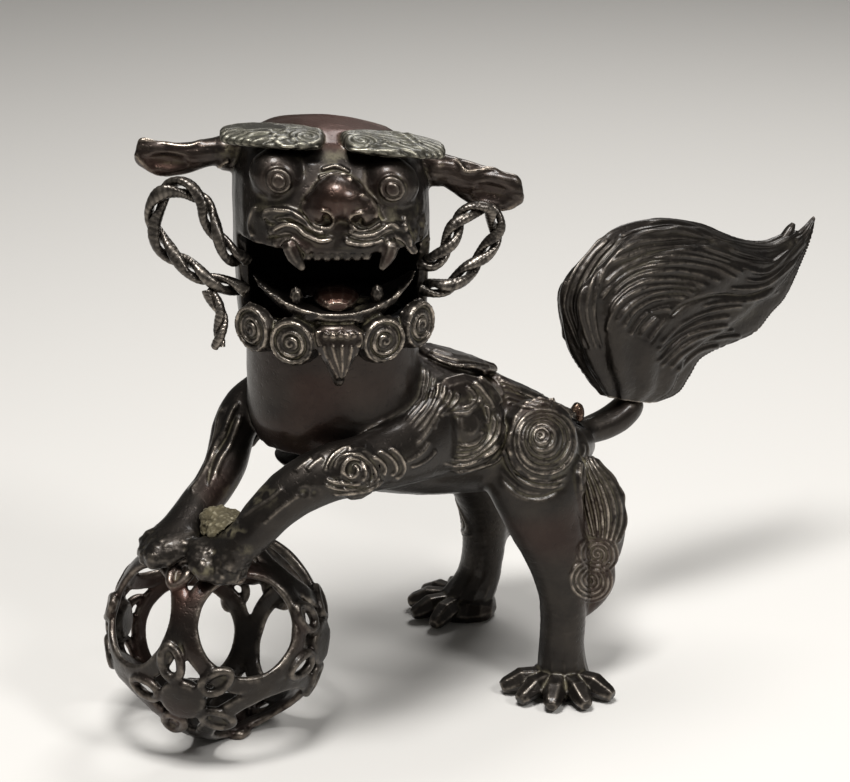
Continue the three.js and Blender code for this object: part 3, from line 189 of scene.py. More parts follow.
def add_floor():
    """A pale paper sweep: level under the lion, and rising in a wide bend far behind it."""
    across = np.linspace(-SWEEP_HALF_WIDTH, SWEEP_HALF_WIDTH, 5)
    bend = np.linspace(0.1, math.pi / 2, 16)
    level = np.linspace(SWEEP_FRONT, SWEEP_BEND_START, 12)
    wall = SWEEP_BEND_START + SWEEP_BEND_RADIUS
    along = np.concatenate([level, SWEEP_BEND_START + np.sin(bend) * SWEEP_BEND_RADIUS, [wall]])
    rise = np.concatenate([np.zeros(12), (1 - np.cos(bend)) * SWEEP_BEND_RADIUS, [SWEEP_TOP]])
    back = -towards(CAMERA_AZIMUTH, 0)
    side = np.array([-back[1], back[0], 0])
    grid = along[:, None, None] * back + across[None, :, None] * side
    grid[..., 2] += rise[:, None]
    rows, cols = grid.shape[:2]
    mesh = bpy.data.meshes.new("paper_sweep")
    mesh.from_pydata(grid.reshape(-1, 3), [], grid_faces(rows, cols, False)[:, ::-1].tolist())
    mesh.polygons.foreach_set("use_smooth", np.ones(len(mesh.polygons), bool))
    floor = bpy.data.objects.new("paper_sweep", mesh)
    bpy.context.collection.objects.link(floor)
    material, tree = new_material("matt_paper")
    shade = add(tree, "ShaderNodeBsdfPrincipled", {"Base Color": linear("c9c6c1"), "Roughness": 0.8})
    add(tree, "ShaderNodeOutputMaterial", links={"Surface": shade.outputs[0]})
    mesh.materials.append(material)


# Meshes from arrays


def grid_faces(rows, cols, wrap=True):
    """Four corners of each cell of a grid of points; with wrap, the last column joins the first."""
    across = np.arange(cols if wrap else cols - 1)
    row, col = np.meshgrid(np.arange(rows - 1), across, indexing="ij")
    here, below, nxt = row * cols, (row + 1) * cols, (col + 1) % cols
    return np.stack([here + col, here + nxt, below + nxt, below + col], -1).reshape(-1, 4)


def ring_faces(rows, cols):
    """Cells of a grid that comes round to its start both ways."""
    row, col = np.meshgrid(np.arange(rows), np.arange(cols), indexing="ij")
    here, below, nxt = row * cols, (row + 1) % rows * cols, (col + 1) % cols
    return np.stack([here + col, here + nxt, below + nxt, below + col], -1).reshape(-1, 4)


def capped_faces(rows, cols):
    """Cells of a wrapped grid, and a fan over each end to a middle point kept after the grid's points."""
    turn = np.arange(cols)
    nxt = (turn + 1) % cols
    first = np.stack([nxt, turn, np.full(cols, rows * cols)], -1)
    last = (rows - 1) * cols
    final = np.stack([last + turn, last + nxt, np.full(cols, rows * cols + 1)], -1)
    return grid_faces(rows, cols).tolist() + first.tolist() + final.tolist()


def tube_mesh(grid):
    """The points and faces of a closed tube: a wrapped grid with its two ends drawn in to their middles."""
    points = np.concatenate([grid.reshape(-1, 3), [grid[0].mean(0), grid[-1].mean(0)]])
    return points, capped_faces(*grid.shape[:2])


def joined_mesh(parts):
    """Several sets of points and faces as one."""
    points, faces, start = [], [], 0
    for part_points, part_faces in parts:
        points.append(part_points)
        faces += [[start + i for i in face] for face in part_faces]
        start += len(part_points)
    return np.concatenate(points), faces


def outward_mesh(name, points, faces):
    """A mesh whose faces are turned to point outwards."""
    mesh = bpy.data.meshes.new(name)
    mesh.from_pydata(points, [], faces)
    work = bmesh.new()
    work.from_mesh(mesh)
    bmesh.ops.recalc_face_normals(work, faces=work.faces)
    work.to_mesh(mesh)
    work.free()
    return mesh


def smooth_line(corners, count):
    """Points along a Catmull-Rom line through the corners, evenly in its parameter."""
    corners = np.asarray(corners, float)
    padded = np.vstack([2 * corners[0] - corners[1], corners, 2 * corners[-1] - corners[-2]])
    t = np.linspace(0, len(corners) - 1 - 1e-9, count)
    i = t.astype(int)
    u = (t - i)[:, None]
    a, b, c, d = (padded[i + k] for k in range(4))
    return 0.5 * (2 * b + (c - a) * u + (2 * a - 5 * b + 4 * c - d) * u**2 + (3 * b - a - 3 * c + d) * u**3)


def unit(vectors):
    return vectors / np.maximum(np.linalg.norm(vectors, axis=-1, keepdims=True), 1e-12)


def line_axes(line, flat):
    """Directions along a line, and two square to it; the first of these lies nearest to flat."""
    along = unit(np.gradient(line, axis=0))
    side = unit(flat - along * (along @ flat)[:, None])
    return along, side, np.cross(along, side)


def smoothstep(low, high, value):
    share = np.clip((value - low) / (high - low), 0, 1)
    return share * share * (3 - 2 * share)


LATTICE_SIDE = 48
LATTICE = np.random.default_rng(7).uniform(-1, 1, (LATTICE_SIDE,) * 3)


def lumps(points, size, shift=0.0):
    """Smooth random heights from -1 to 1: a random lattice of a spacing, eased between its corners."""
    scaled = points / size + shift
    cell = np.floor(scaled).astype(int)
    part = scaled - cell
    part = part * part * (3 - 2 * part)
    total = np.zeros(len(points))
    for corner in np.ndindex(2, 2, 2):
        weight = np.prod(np.where(corner, part, 1 - part), axis=1)
        total += weight * LATTICE[tuple(((cell + corner) % LATTICE_SIDE).T)]
    return total


# Carving: strands, rings and patches drawn on flat spots, which are places in pixels of the photograph


def near_line(spots, line):
    """For flat spots, the share along a line of points of the nearest place on it, and its distance."""
    start, step = line[:-1], np.diff(line, axis=0)
    offset = spots[:, None, :] - start
    share = np.clip((offset * step).sum(-1) / np.maximum((step**2).sum(-1), 1e-9), 0, 1)
    away = np.linalg.norm(offset - share[..., None] * step, axis=-1)
    nearest = away.argmin(1)
    pick = np.arange(len(spots))
    return (nearest + share[pick, nearest]) / len(step), away[pick, nearest]


def ridges(spots, lines, half_width, height=1.0, taper=0.12):
    """Rounded ridges along traced lines: the highest of them at each spot. Each sinks away at its ends."""
    total = np.zeros(len(spots))
    reach = 2.5 * half_width
    for corners in lines:
        line = smooth_line(corners, 4 * len(corners))
        near = np.all((spots > line.min(0) - reach) & (spots < line.max(0) + reach), axis=1)
        if near.any():
            share, away = near_line(spots[near], line)
            ends = smoothstep(0, taper, share) * smoothstep(1, 1 - taper, share)
            total[near] = np.maximum(total[near], ends * np.exp(-((away / half_width) ** 2)))
    return height * total


# Half the width in pixels of a usual strand of hair.
STRAND = 1.9


def between(first, last, count):
    """Lines evenly spaced from one traced line to another, both included."""
    a, b = smooth_line(first, 14), smooth_line(last, 14)
    return [a + (b - a) * share for share in np.linspace(0, 1, count)]


def comb(phase):
    """Rounded strands with narrow grooves between them, from 0 to 1, one for each whole step of phase."""
    return np.abs(np.sin(np.pi * phase)) ** 0.6


def rings(spots, centre, pitch, radius, squash=1.0, drift=(0.0, 0.0)):
    """Round strands about a place, from 0 to 1, that end at a radius. Wide rings drift off the middle."""
    x, y = (spots - centre).T
    for _ in range(2):
        share = np.minimum(np.hypot(x, y / squash) / radius, 1)[:, None]
        x, y = (spots - centre - share * np.array(drift)).T
    away = np.hypot(x, y / squash)
    return comb(away / pitch) * smoothstep(radius, radius * 0.92, away)


def whorl(spots, centre, pitch, radius, hand=1, start=0.0):
    """A spiral of strands from 0 to 1: each turn moves the strand outwards by one pitch."""
    x, y = (spots - centre).T
    away = np.hypot(x, y)
    turn = np.arctan2(y, x) / (2 * np.pi) * hand + start
    return comb(away / pitch - turn) * smoothstep(radius, radius * 0.92, away)


def dome(spots, centre, radius):
    """A round swell from 0 to 1."""
    away = np.hypot(*(spots - centre).T) / radius
    return np.sqrt(np.clip(1 - away**2, 0, 1))


def blobs(spots, places):
    """Soft patches from 0 to 1: each has its middle, its half width and half height, and its strength."""
    total = np.zeros(len(spots))
    for x, y, wide, tall, strength in places:
        away = ((spots[:, 0] - x) / wide) ** 2 + ((spots[:, 1] - y) / tall) ** 2
        total = np.maximum(total, strength * np.exp(-away))
    return total


class Skin:
    """A skin's points and normals in the lion's axes.

    It also keeps the pixels where each point is seen, and how far it faces the camera."""

    def __init__(self, points, normals):
        self.points = points
        self.normals = normals
        self.spots = seen(points)
        self.facing = smoothstep(0.06, 0.35, normals @ CAMERA_BACK)


# Places: the lion's and the head's own axes


class Place:
    """A set of axes in millimetres, with the way into the frame's metres and back."""

    def __init__(self, turn=0.0, lift=0.0, lean=0.0):
        self.turn = about_z(turn)
        self.lift = np.array([0, 0, lift])
        self.lean = lean

    def drop(self, points):
        return points[..., 0] * self.lean * smoothstep(20, 53, points[..., 2])

    def to_frame(self, points):
        points = np.array(points, float)
        points[..., 2] -= self.drop(points)
        return (points @ self.turn.T + self.lift + NECK) * MM

    def from_frame(self, points):
        own = (points / MM - NECK - self.lift) @ self.turn
        level = own.copy()
        for _ in range(3):
            level[..., 2] = own[..., 2] + self.drop(level)
        return level

    def way_from_frame(self, ways):
        return ways @ self.turn


LION = Place()
HEAD = Place(HEAD_TURN, HEAD_LIFT, SKULL_LEAN)


# Pieces


def neighbour_mean(values, edges, count):
    a, b = edges.T
    total = len(values)
    if values.ndim == 1:
        return (np.bincount(a, values[b], total) + np.bincount(b, values[a], total)) / count
    return np.stack([neighbour_mean(column, edges, count) for column in values.T], -1)


def neighbour_count(edges, total):
    return np.maximum(np.bincount(edges.ravel(), minlength=total), 1)


def eased(points, edges, rounds, amount=1.0, back=-0.515):
    """Moves every point half way to its neighbours' mean, and then by a second share.

    A second share a little under -0.5 keeps the size, which is Taubin's smoothing. 0.5 smooths more."""
    count = neighbour_count(edges, len(points))
    amount = np.broadcast_to(amount, len(points))[:, None]
    for share in (0.5, back) * rounds:
        points = points + share * amount * (neighbour_mean(points, edges, count) - points)
    return points


def spread(values, edges, rounds):
    """A value at each point, averaged with its neighbours' a number of times."""
    count = neighbour_count(edges, len(values))
    for _ in range(rounds):
        values = 0.3 * values + 0.7 * neighbour_mean(values, edges, count)
    return values


def read(what, name, width, kind=float):
    values = np.zeros(len(what) * width, kind)
    what.foreach_get(name, values)
    return values.reshape(-1, width) if width > 1 else values


def mesh_points(mesh):
    return read(mesh.vertices, "co", 3)


def mesh_edges(mesh):
    return read(mesh.edges, "vertices", 2, np.int32)


def mesh_normals(mesh):
    return read(mesh.vertex_normals, "vector", 3)


def set_points(mesh, points):
    low, high = (np.array(corner) for corner in CAD_BOX)
    mesh.vertices.foreach_set("co", np.clip(points, low, high).astype(np.float32).ravel())
    mesh.update()


def mark(mesh, marks):
    """Keeps a value from 0 to 1 for each point under each name, for the finishes."""
    for name, values in marks.items():
        layer = mesh.attributes.new(name, "FLOAT", "POINT")
        layer.data.foreach_set("value", np.clip(values, 0, 1).astype(np.float32))


def wear_marks(mesh, dust=0.0, warm=0.0):
    """Where the metal is rubbed, painted pale as rubbed metal and as a painted highlight, and where dust lies.

    Points that stand out of their neighbours are rubbed and get the painted highlight, and points that lie
    under theirs hold dust."""
    points, edges, normals = mesh_points(mesh) / MM, mesh_edges(mesh), mesh_normals(mesh)
    count = neighbour_count(edges, len(points))
    step = np.sqrt(((points[edges[:, 0]] - points[edges[:, 1]]) ** 2).sum(1).mean())
    hollow = ((neighbour_mean(points, edges, count) - points) * normals).sum(1) / step**2
    fine = spread(hollow, edges, 2)
    wide = spread(hollow, edges, 16)
    return {
        # Rubbed ridges: real wear, and the pale colour they get is also a painted highlight.
        "wear_and_highlight": -fine * 2.4 - 0.1,
        "dust": fine * 1.3 + wide * 2.5 - 0.14 + dust,
        "warm": np.zeros(len(points)) + warm,
    }


def show(name, mesh, nodes, body, material):
    piece = bpy.data.objects.new(name, mesh)
    bpy.context.collection.objects.link(piece)
    mesh.polygons.foreach_set("use_smooth", np.ones(len(mesh.polygons), bool))
    mesh.materials.clear()
    mesh.materials.append(material)
    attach(piece, body)
    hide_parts(*nodes)
    return piece


def evaluated_copy(mesh, change):
    """A mesh after a modifier that the given function adds to its object."""
    holder = bpy.data.objects.new("holder", mesh)
    bpy.context.collection.objects.link(holder)
    change(holder)
    fresh = bpy.data.meshes.new_from_object(holder.evaluated_get(bpy.context.evaluated_depsgraph_get()))
    bpy.data.objects.remove(holder)
    return fresh


def thinned(mesh, share):
    """The mesh with a share of its triangles, for a surface without fine relief."""

    def change(holder):
        holder.modifiers.new("fewer_triangles", "DECIMATE").ratio = share

    return evaluated_copy(mesh, change)


def remeshed(mesh, voxel):
    """A mesh skinned afresh with even cells of a size in millimetres, so that crossing parts become one."""

    def change(holder):
        skin = holder.modifiers.new("skin", "REMESH")
        skin.mode = "VOXEL"
        skin.voxel_size = voxel * MM * 1.0
        skin.adaptivity = 0

    return evaluated_copy(mesh, change)


def merged_copy(node):
    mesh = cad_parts[node].data.copy()
    work = bmesh.new()
    work.from_mesh(mesh)
    bmesh.ops.remove_doubles(work, verts=work.verts, dist=1e-6)
    bmesh.ops.triangulate(work, faces=work.faces)
    work.to_mesh(mesh)
    work.free()
    return mesh


def cast_grain(own):
    """The gentle unevenness of a sand casting."""
    return 0.1 * lumps(own, 4.0) + 0.12 * lumps(own, 9.0, 5.0)


def carved(node, voxel, rounds, material, slot="dark_bronze", place=LION, body="lion", relief=None,
           stain=None, mesh=None):
    """One cast piece: a form skinned with even cells, eased, and carved along its normals.

    relief takes the skin and its own millimetres and gives heights. stain gives dust and warmth."""
    mesh = remeshed(mesh or merged_copy(node), voxel)
    set_points(mesh, eased(mesh_points(mesh), mesh_edges(mesh), rounds))
    points, normals = mesh_points(mesh), mesh_normals(mesh)
    skin = Skin(LION.from_frame(points), normals)
    own = place.from_frame(points)
    height = cast_grain(own)
    if relief:
        height = height + relief(skin, own)
    set_points(mesh, points + normals * height[:, None] * MM)
    dust, warm = stain(skin, own) if stain else (0.0, 0.0)
    mark(mesh, wear_marks(mesh, dust, warm))
    return show(f"cast_{node}", mesh, [node], body, material)


# A piece is closed over each border with fewer edges than this, which takes in the small joints. A longer
# border stays open, because a face over it can span a hollow: it meets a neighbour cut from the same skin.
JOINT_SIDES = 260
# The smooth linings of bowl and head keep this share of their triangles.
LINING_SHARE = 0.25


class Casting:
    """Brazed solids under one skin, which is carved as one and cut into a piece for each solid."""

    def __init__(self, nodes, voxel, place, zone, grow):
        self.names = []
        parts, labels = [], []
        for node in nodes:
            mesh = merged_copy(node)
            points, normals = mesh_points(mesh), mesh_normals(mesh)
            own, own_normals = place.from_frame(points), place.way_from_frame(normals)
            points = points + normals * grow(node, own, own_normals)[:, None] * MM
            corners = read(mesh.polygons, "vertices", 3, np.int32)
            parts.append((points, corners.tolist()))
            middles, ways = own[corners].mean(1), own_normals[corners].mean(1)
            labels.append(self.numbers(zone(node, middles, ways)))
        points, faces = joined_mesh(parts)
        solids = bpy.data.meshes.new("solids")
        solids.from_pydata(points, [], faces)
        solids.attributes.new("which", "FLOAT", "FACE").data.foreach_set("value", np.concatenate(labels))
        skin = remeshed(solids.copy(), voxel)
        source = bpy.data.objects.new("solids", solids)
        bpy.context.collection.objects.link(source)
        self.mesh = evaluated_copy(skin, lambda holder: self.label(holder, source))
        bpy.data.objects.remove(source)
        self.place = place

    def numbers(self, words):
        """A number for each word of an array, in the order in which the words first came up."""
        for word in np.unique(words):
            if word not in self.names:
                self.names.append(str(word))
        lookup = {name: float(i) for i, name in enumerate(self.names)}
        kinds, which = np.unique(words, return_inverse=True)
        return np.array([lookup[str(kind)] for kind in kinds], np.float32)[which]

    def label(self, holder, source):
        """Gives each point and face of the skin the number of the solid's face that lies nearest to it."""
        tree = bpy.data.node_groups.new("nearest_solid", "GeometryNodeTree")
        tree.interface.new_socket("Geometry", in_out="INPUT", socket_type="NodeSocketGeometry")
        tree.interface.new_socket("Geometry", in_out="OUTPUT", socket_type="NodeSocketGeometry")
        shape = add(tree, "NodeGroupInput").outputs[0]
        info = add(tree, "GeometryNodeObjectInfo", {"Object": source})
        which = add(tree, "GeometryNodeInputNamedAttribute", {"data_type": "FLOAT", "Name": "which"})
        links = {"Mesh": info.outputs["Geometry"], "Value": which.outputs["Attribute"]}
        nearest = add(tree, "GeometryNodeSampleNearestSurface", {"data_type": "FLOAT"}, links)
        for domain in ("POINT", "FACE"):
            settings = {"data_type": "FLOAT", "domain": domain, "Name": f"which_{domain}"}
            links = {"Geometry": shape, "Value": nearest.outputs["Value"]}
            shape = add(tree, "GeometryNodeStoreNamedAttribute", settings, links).outputs["Geometry"]
        add(tree, "NodeGroupOutput", links={0: shape})
        holder.modifiers.new("label", "NODES").node_group = tree

    def ease(self, rounds, back=-0.515, amount=None):
        """Smooths the whole skin, or each part of it by its amount, which takes its own millimetres."""
        points, edges = mesh_points(self.mesh), mesh_edges(self.mesh)
        share = 1.0 if amount is None else spread(amount(self, self.place.from_frame(points)), edges, 12)
        set_points(self.mesh, eased(points, edges, rounds, share, back))

    def which(self, domain):
        """The number of the nearest zone for each point or face."""
        layer = self.mesh.attributes[f"which_{domain}"].data
        return np.rint(read(layer, "value", 1, np.float32)).astype(int)

    def named(self, *words):
        """Which points lie on zones whose names start with any of the words."""
        hits = [i for i, name in enumerate(self.names) if name.startswith(words)]
        return np.isin(self.which("POINT"), hits)

    def carve(self, relief, stain):
        """Moves the skin along its normals by the relief, and keeps its wear with its painted highlight, dust
        and warmth.
        """
        points, normals = mesh_points(self.mesh), mesh_normals(self.mesh)
        skin, own = Skin(LION.from_frame(points), normals), self.place.from_frame(points)
        height = cast_grain(own) + relief(self, skin, own)
        set_points(self.mesh, points + normals * height[:, None] * MM)
        dust, warm = stain(self, skin, own)
        self.marks = wear_marks(self.mesh, dust, warm)

    def pieces(self, body, finish):
        """Shows a piece for each zone, with its short borders closed. finish gives node, slot and material."""
        points, normals = mesh_points(self.mesh), mesh_normals(self.mesh)
        quads = read(self.mesh.polygons, "vertices", 4, np.int32)
        zones = self.which("FACE")
        for number, name in enumerate(self.names):
            mine = quads[zones == number]
            if len(mine) == 0:
                continue
            used, local = np.unique(mine, return_inverse=True)
            mesh = bpy.data.meshes.new(name)
            mesh.from_pydata(points[used], [], local.reshape(-1, 4).tolist())
            work = bmesh.new()
            work.from_mesh(mesh)
            bmesh.ops.holes_fill(work, edges=work.edges, sides=JOINT_SIDES)
            work.to_mesh(mesh)
            work.free()
            mark(mesh, {key: values[used] for key, values in self.marks.items()})
            node, slot, material = finish(name)
            if "lining" in name:
                show(f"cast_{name}", thinned(mesh, LINING_SHARE), [node], body, material)
                continue
            show(f"cast_{name}", mesh, [node], body, material)
            mesh.normals_split_custom_set_from_vertices(normals[used].tolist())


# Finishes


# Where the patina is thin, the metal shows red-brown.
WARM_METAL = "4a2a1f"


def bronze(name, patina, brown, worn_highlight, dust, gloss, worn_gloss, metal=0.9, pits=0.35, coat=0.25):
    """Cast bronze. Patina and brown lie in clouds 14 mm wide.

    Rubbed metal shows on ridges in the worn colour, which on most finishes is pale enough to be a painted
    highlight as well, and dust fills hollows. The sand-cast skin has grains 0.5 mm wide and pits 1.6 mm apart,
    drawn as relief."""
    material, tree = new_material(name)
    where = add(tree, "ShaderNodeTexCoord").outputs["Object"]

    def noise(size_mm, detail):
        settings = {"Scale": 1 / (size_mm * MM), "Detail": detail, "Roughness": 0.6}
        return add(tree, "ShaderNodeTexNoise", settings, {"Vector": where}).outputs["Fac"]

    def ramp(value, low, high):
        settings = {"From Min": low, "From Max": high}
        return add(tree, "ShaderNodeMapRange", settings, {"Value": value}).outputs["Result"]

    def times(a, b):
        return add(tree, "ShaderNodeMath", {"operation": "MULTIPLY"}, {0: a, 1: b}).outputs[0]

    def blend(share, a, b):
        mix = add(tree, "ShaderNodeMix", {"data_type": "RGBA"}, {0: share})
        for socket, value in ((6, a), (7, b)):
            if isinstance(value, list):
                mix.inputs[socket].default_value = value
            else:
                tree.links.new(value, mix.inputs[socket])
        return mix.outputs[2]

    def amount(share, a, b):
        mix = add(tree, "ShaderNodeMix", {"data_type": "FLOAT"}, {0: share})
        for socket, value in ((2, a), (3, b)):
            if isinstance(value, float):
                mix.inputs[socket].default_value = value
            else:
                tree.links.new(value, mix.inputs[socket])
        return mix.outputs[0]

    def attribute(layer):
        return add(tree, "ShaderNodeAttribute", {"attribute_name": layer}).outputs["Fac"]

    clouds = ramp(noise(14, 4), 0.35, 0.7)
    grain = noise(0.5, 3)
    patches = ramp(noise(3.5, 4), 0.35, 0.6)
    rubbed_and_highlight = times(attribute("wear_and_highlight"), patches)
    dusty = times(attribute("dust"), ramp(noise(2.2, 5), 0.3, 0.55))
    colour = blend(clouds, linear(patina), linear(brown))
    colour = blend(attribute("warm"), colour, linear(WARM_METAL))
    # Ridges take the pale worn colour: rubbed metal, and a painted highlight.
    colour = blend(rubbed_and_highlight, colour, linear(worn_highlight))
    colour = blend(dusty, colour, linear(dust))
    rough = amount(ramp(grain, 0.3, 0.7), gloss - 0.05, gloss + 0.08)
    rough = amount(rubbed_and_highlight, rough, worn_gloss)
    rough = amount(dusty, rough, 0.85)
    metallic = amount(dusty, metal, 0.1)
    pit = ramp(noise(1.6, 2), 0.25, 0.45)
    fine = add(tree, "ShaderNodeBump", {"Strength": 0.25, "Distance": 0.00012}, {"Height": grain})
    pitted = {"Strength": pits, "Distance": 0.0003}
    bump = add(tree, "ShaderNodeBump", pitted, {"Height": pit, "Normal": fine.outputs[0]})
    shade = add(
        tree,
        "ShaderNodeBsdfPrincipled",
        {"Coat Weight": coat, "Coat Roughness": 0.18},
        {"Base Color": colour, "Roughness": rough, "Metallic": metallic, "Normal": bump.outputs[0]},
    )
    add(tree, "ShaderNodeOutputMaterial", links={"Surface": shade.outputs[0]})
    return material


# Lacquered dark brown bronze: near black, semi-gloss, with pale grey painted where it is rubbed, which is
# rubbed metal and a painted highlight.
DARK = bronze("patinated_cast_bronze", "25211e", "35302b", "a2978a", "665f48", 0.4, 0.25)
# The hollows of bowl and head: blackened by smoke, and dull.
SOOTY = bronze(
    "soot_blackened_bronze", "0d0b0a", "14110f", "1c1815", "12100d", 0.8, 0.7, metal=0.2, coat=0.0
)
# The same metal handled more: redder and glossier.
RUBBED = bronze("rubbed_cast_bronze", "3a2a22", "5a3a2c", "a08a70", "4a4030", 0.26, 0.2, coat=0.4)
# Nose, ears, tongue and chin, often touched: a little redder than the body.
HANDLED = bronze("handled_cast_bronze", "2a2420", "3a302a", "a89a8a", "6f674c", 0.34, 0.22, coat=0.35)
# Wrought strips, twisted while hot: dark, with bright edges painted in as rubbed metal and as a painted
# highlight.
WIRE = bronze("twisted_bronze_strip", "272320", "35302b", "aaa094", "5a5340", 0.34, 0.22, pits=0.2)
# The tops of the brows, where grey-green dust has dried on.
DUSTY = bronze("dusty_cast_bronze", "2c2a25", "3f3d34", "aaa594", "6e6c58", 0.44, 0.3, metal=0.8, coat=0.15)
# Yellow-grey solder mixed with casting earth: dull and granular.
SOLDER = bronze(
    "granular_solder", "453f30", "665d44", "99917a", "3c3728", 0.8, 0.55, metal=0.35, pits=1.0, coat=0.0
)

add_light()
add_floor()

# Ball

BALL_RADIUS = 39.5
BALL_CENTRE = np.array([-2.8, -49.0, 38.8])
BALL_TURN = math.radians(41)
BALL_TILT = math.radians(15.5)
WINDOW_RADIUS = 22.3
BAND_HALF_WIDTH = 3.5
BAND_DEPTH = 4.6
PETAL_REACH = 14.5
PETAL_HALF = np.array([5.85, 3.6])
PETAL_WIRE = 1.75
BOSS_RADIUS = 8.5
FLORET_PROUD = 1.6


def ball_axes():
    """The ball's own axes: tilted about X and then turned about Z, as columns."""
    across, down = math.cos(BALL_TILT), math.sin(BALL_TILT)
    tilt = np.array([[1, 0, 0], [0, across, -down], [0, down, across]])
    return about_z(BALL_TURN) @ tilt


def squared(value, power):
    """A sine or cosine whose wave is made flatter on top by a power under 1."""
    return np.sign(value) * np.abs(value) ** power


def two_turns(first, second):
    """Two angles, each once round in a number of steps, for every cell of a grid."""
    first, second = (np.linspace(0, 2 * np.pi, count, False) for count in (first, second))
    return np.meshgrid(first, second, indexing="ij")


def square_to(axis):
    helper = np.array([0, 0, 1.0]) if abs(axis[2]) < 0.8 else np.array([1.0, 0, 0])
    return unit(np.cross(helper, axis))


def on_ball(axis, side, turn, arc, radius):
    """Points off an axis by an arc length, in a direction round it, at a radius."""
    off = arc / BALL_RADIUS
    other = np.cross(axis, side)
    way = np.cos(off)[..., None] * axis
    way = way + (np.sin(off) * np.cos(turn))[..., None] * side
    way = way + (np.sin(off) * np.sin(turn))[..., None] * other
    return way * np.asarray(radius)[..., None]


def window_band(axis):
    """A flat band with rounded shoulders round one window: angle round it, and angle round its section."""
    side = square_to(axis)
    turn, roll = two_turns(120, 20)
    arc = WINDOW_RADIUS + BAND_HALF_WIDTH * squared(np.cos(roll), 0.62)
    rise = -BAND_DEPTH * 0.32 + BAND_DEPTH * 0.32 * squared(np.sin(roll), 0.62)
    return on_ball(axis, side, turn, arc, BALL_RADIUS + rise).reshape(-1, 3), ring_faces(*turn.shape)


def petal(axis, side, turn):
    """A round-edged oval loop that lies on the ball, its far end a little pointed."""
    quarter = BALL_RADIUS * math.pi / 2
    outward = on_ball(axis, side, np.array(turn), np.array(PETAL_REACH), np.array(1.0))
    along = on_ball(axis, side, np.array(turn), np.array(PETAL_REACH + quarter), np.array(1.0))
    other = np.cross(outward, along)
    t, roll = two_turns(56, 14)
    x = PETAL_HALF[0] * np.cos(t) * (1 + 0.12 * np.cos(t) ** 3) + PETAL_WIRE * np.cos(t) * np.cos(roll)
    y = PETAL_HALF[1] * np.sin(t) + PETAL_WIRE * np.sin(t) * np.cos(roll)
    level = BALL_RADIUS + FLORET_PROUD - PETAL_WIRE + PETAL_WIRE * np.sin(roll)
    way = unit(outward + (x / BALL_RADIUS)[..., None] * along + (y / BALL_RADIUS)[..., None] * other)
    return (way * level[..., None]).reshape(-1, 3), ring_faces(*t.shape)


def boss(axis):
    """The button in the middle of a floret: a flat dome whose rounded rim reaches inside the bands."""
    side = square_to(axis)
    share = np.array([0.72, 0.86, 0.97, 1.0, 0.99, 0.93, 0.82, 0.64, 0.42, 0.2])
    rise = np.array([-6.2, -5.4, -3.8, -2.2, -1.2, -0.5, -0.15, 0.0, 0.02, 0.0])
    s, t = np.meshgrid(share, np.linspace(0, 2 * np.pi, 48, False), indexing="ij")
    r = np.broadcast_to(rise[:, None], s.shape)
    grid = on_ball(axis, side, t, BOSS_RADIUS * s, BALL_RADIUS + FLORET_PROUD + r)
    return tube_mesh(grid)


BAR_DEPTH = 2.2
BAR_HALF_THICKNESS = 1.9
BAR_HALF_WIDTH = 2.3
BAR_TURN = math.radians(47)


def window_bar(axis, turn):
    """A straight strip across one window, just under its band."""
    side = square_to(axis)
    share, roll = np.meshgrid(np.linspace(-1, 1, 30), np.linspace(0, 2 * np.pi, 16, False), indexing="ij")
    other = np.cross(axis, side)
    away = -math.sin(turn) * side + math.cos(turn) * other
    line = on_ball(axis, side, np.full(share.shape, turn), WINDOW_RADIUS * share, np.ones(share.shape))
    radius = BALL_RADIUS - BAR_DEPTH + BAR_HALF_THICKNESS * squared(np.sin(roll), 0.7)
    grid = line * radius[..., None] + (BAR_HALF_WIDTH * squared(np.cos(roll), 0.7))[..., None] * away
    return tube_mesh(grid)


def ball_mesh():
    axes = np.vstack([np.eye(3), -np.eye(3)])[[0, 3, 1, 4, 2, 5]]
    corners = np.array([[x, y, z] for x in (-1, 1) for y in (-1, 1) for z in (-1, 1)]) / math.sqrt(3)
    parts = [window_band(c) for c in corners]
    parts.append(window_bar(np.ones(3) / math.sqrt(3), BAR_TURN))
    for i, axis in enumerate(axes):
        parts.append(boss(axis))
        start = 0.6 + 0.4 * i
        parts += [petal(axis, square_to(axis), start + k * 2 * np.pi / 5) for k in range(5)]
    points, faces = joined_mesh(parts)
    mesh = bpy.data.meshes.new("ball")
    mesh.from_pydata(LION.to_frame(points @ ball_axes().T + BALL_CENTRE), [], faces)
    return mesh


BALL_SOLDER = [(190, 560, 60, 26, 1.0), (140, 590, 30, 24, 0.6)]
BALL_DUST = [(200, 572, 40, 12, 1.0), (225, 545, 24, 12, 1.0), (110, 620, 20, 20, 0.5)]
BALL_RUST = [(170, 585, 60, 18, 1.0)]


def ball_relief(skin, own):
    """A worn casting: uneven, and blobbed with solder where the paws are fixed to its top."""
    solder = blobs(skin.spots, BALL_SOLDER) * smoothstep(66, 74, own[:, 2])
    return 0.25 * lumps(own, 5.0, 3.0) + solder * (0.5 + 0.7 * lumps(own, 3.2) + 0.3 * lumps(own, 1.4))


def ball_stain(skin, own):
    """Rusty red in wide clouds and under the solder, with pale dust on top."""
    dust = 0.5 * blobs(skin.spots, BALL_DUST)
    warm = 0.35 * np.clip(lumps(own, 16.0, 2.0), 0, 1) + 0.4 * blobs(skin.spots, BALL_RUST)
    return dust, warm


carved("pierced_ball", 0.62, 4, DARK, relief=ball_relief, stain=ball_stain, mesh=ball_mesh())

# Tail plume

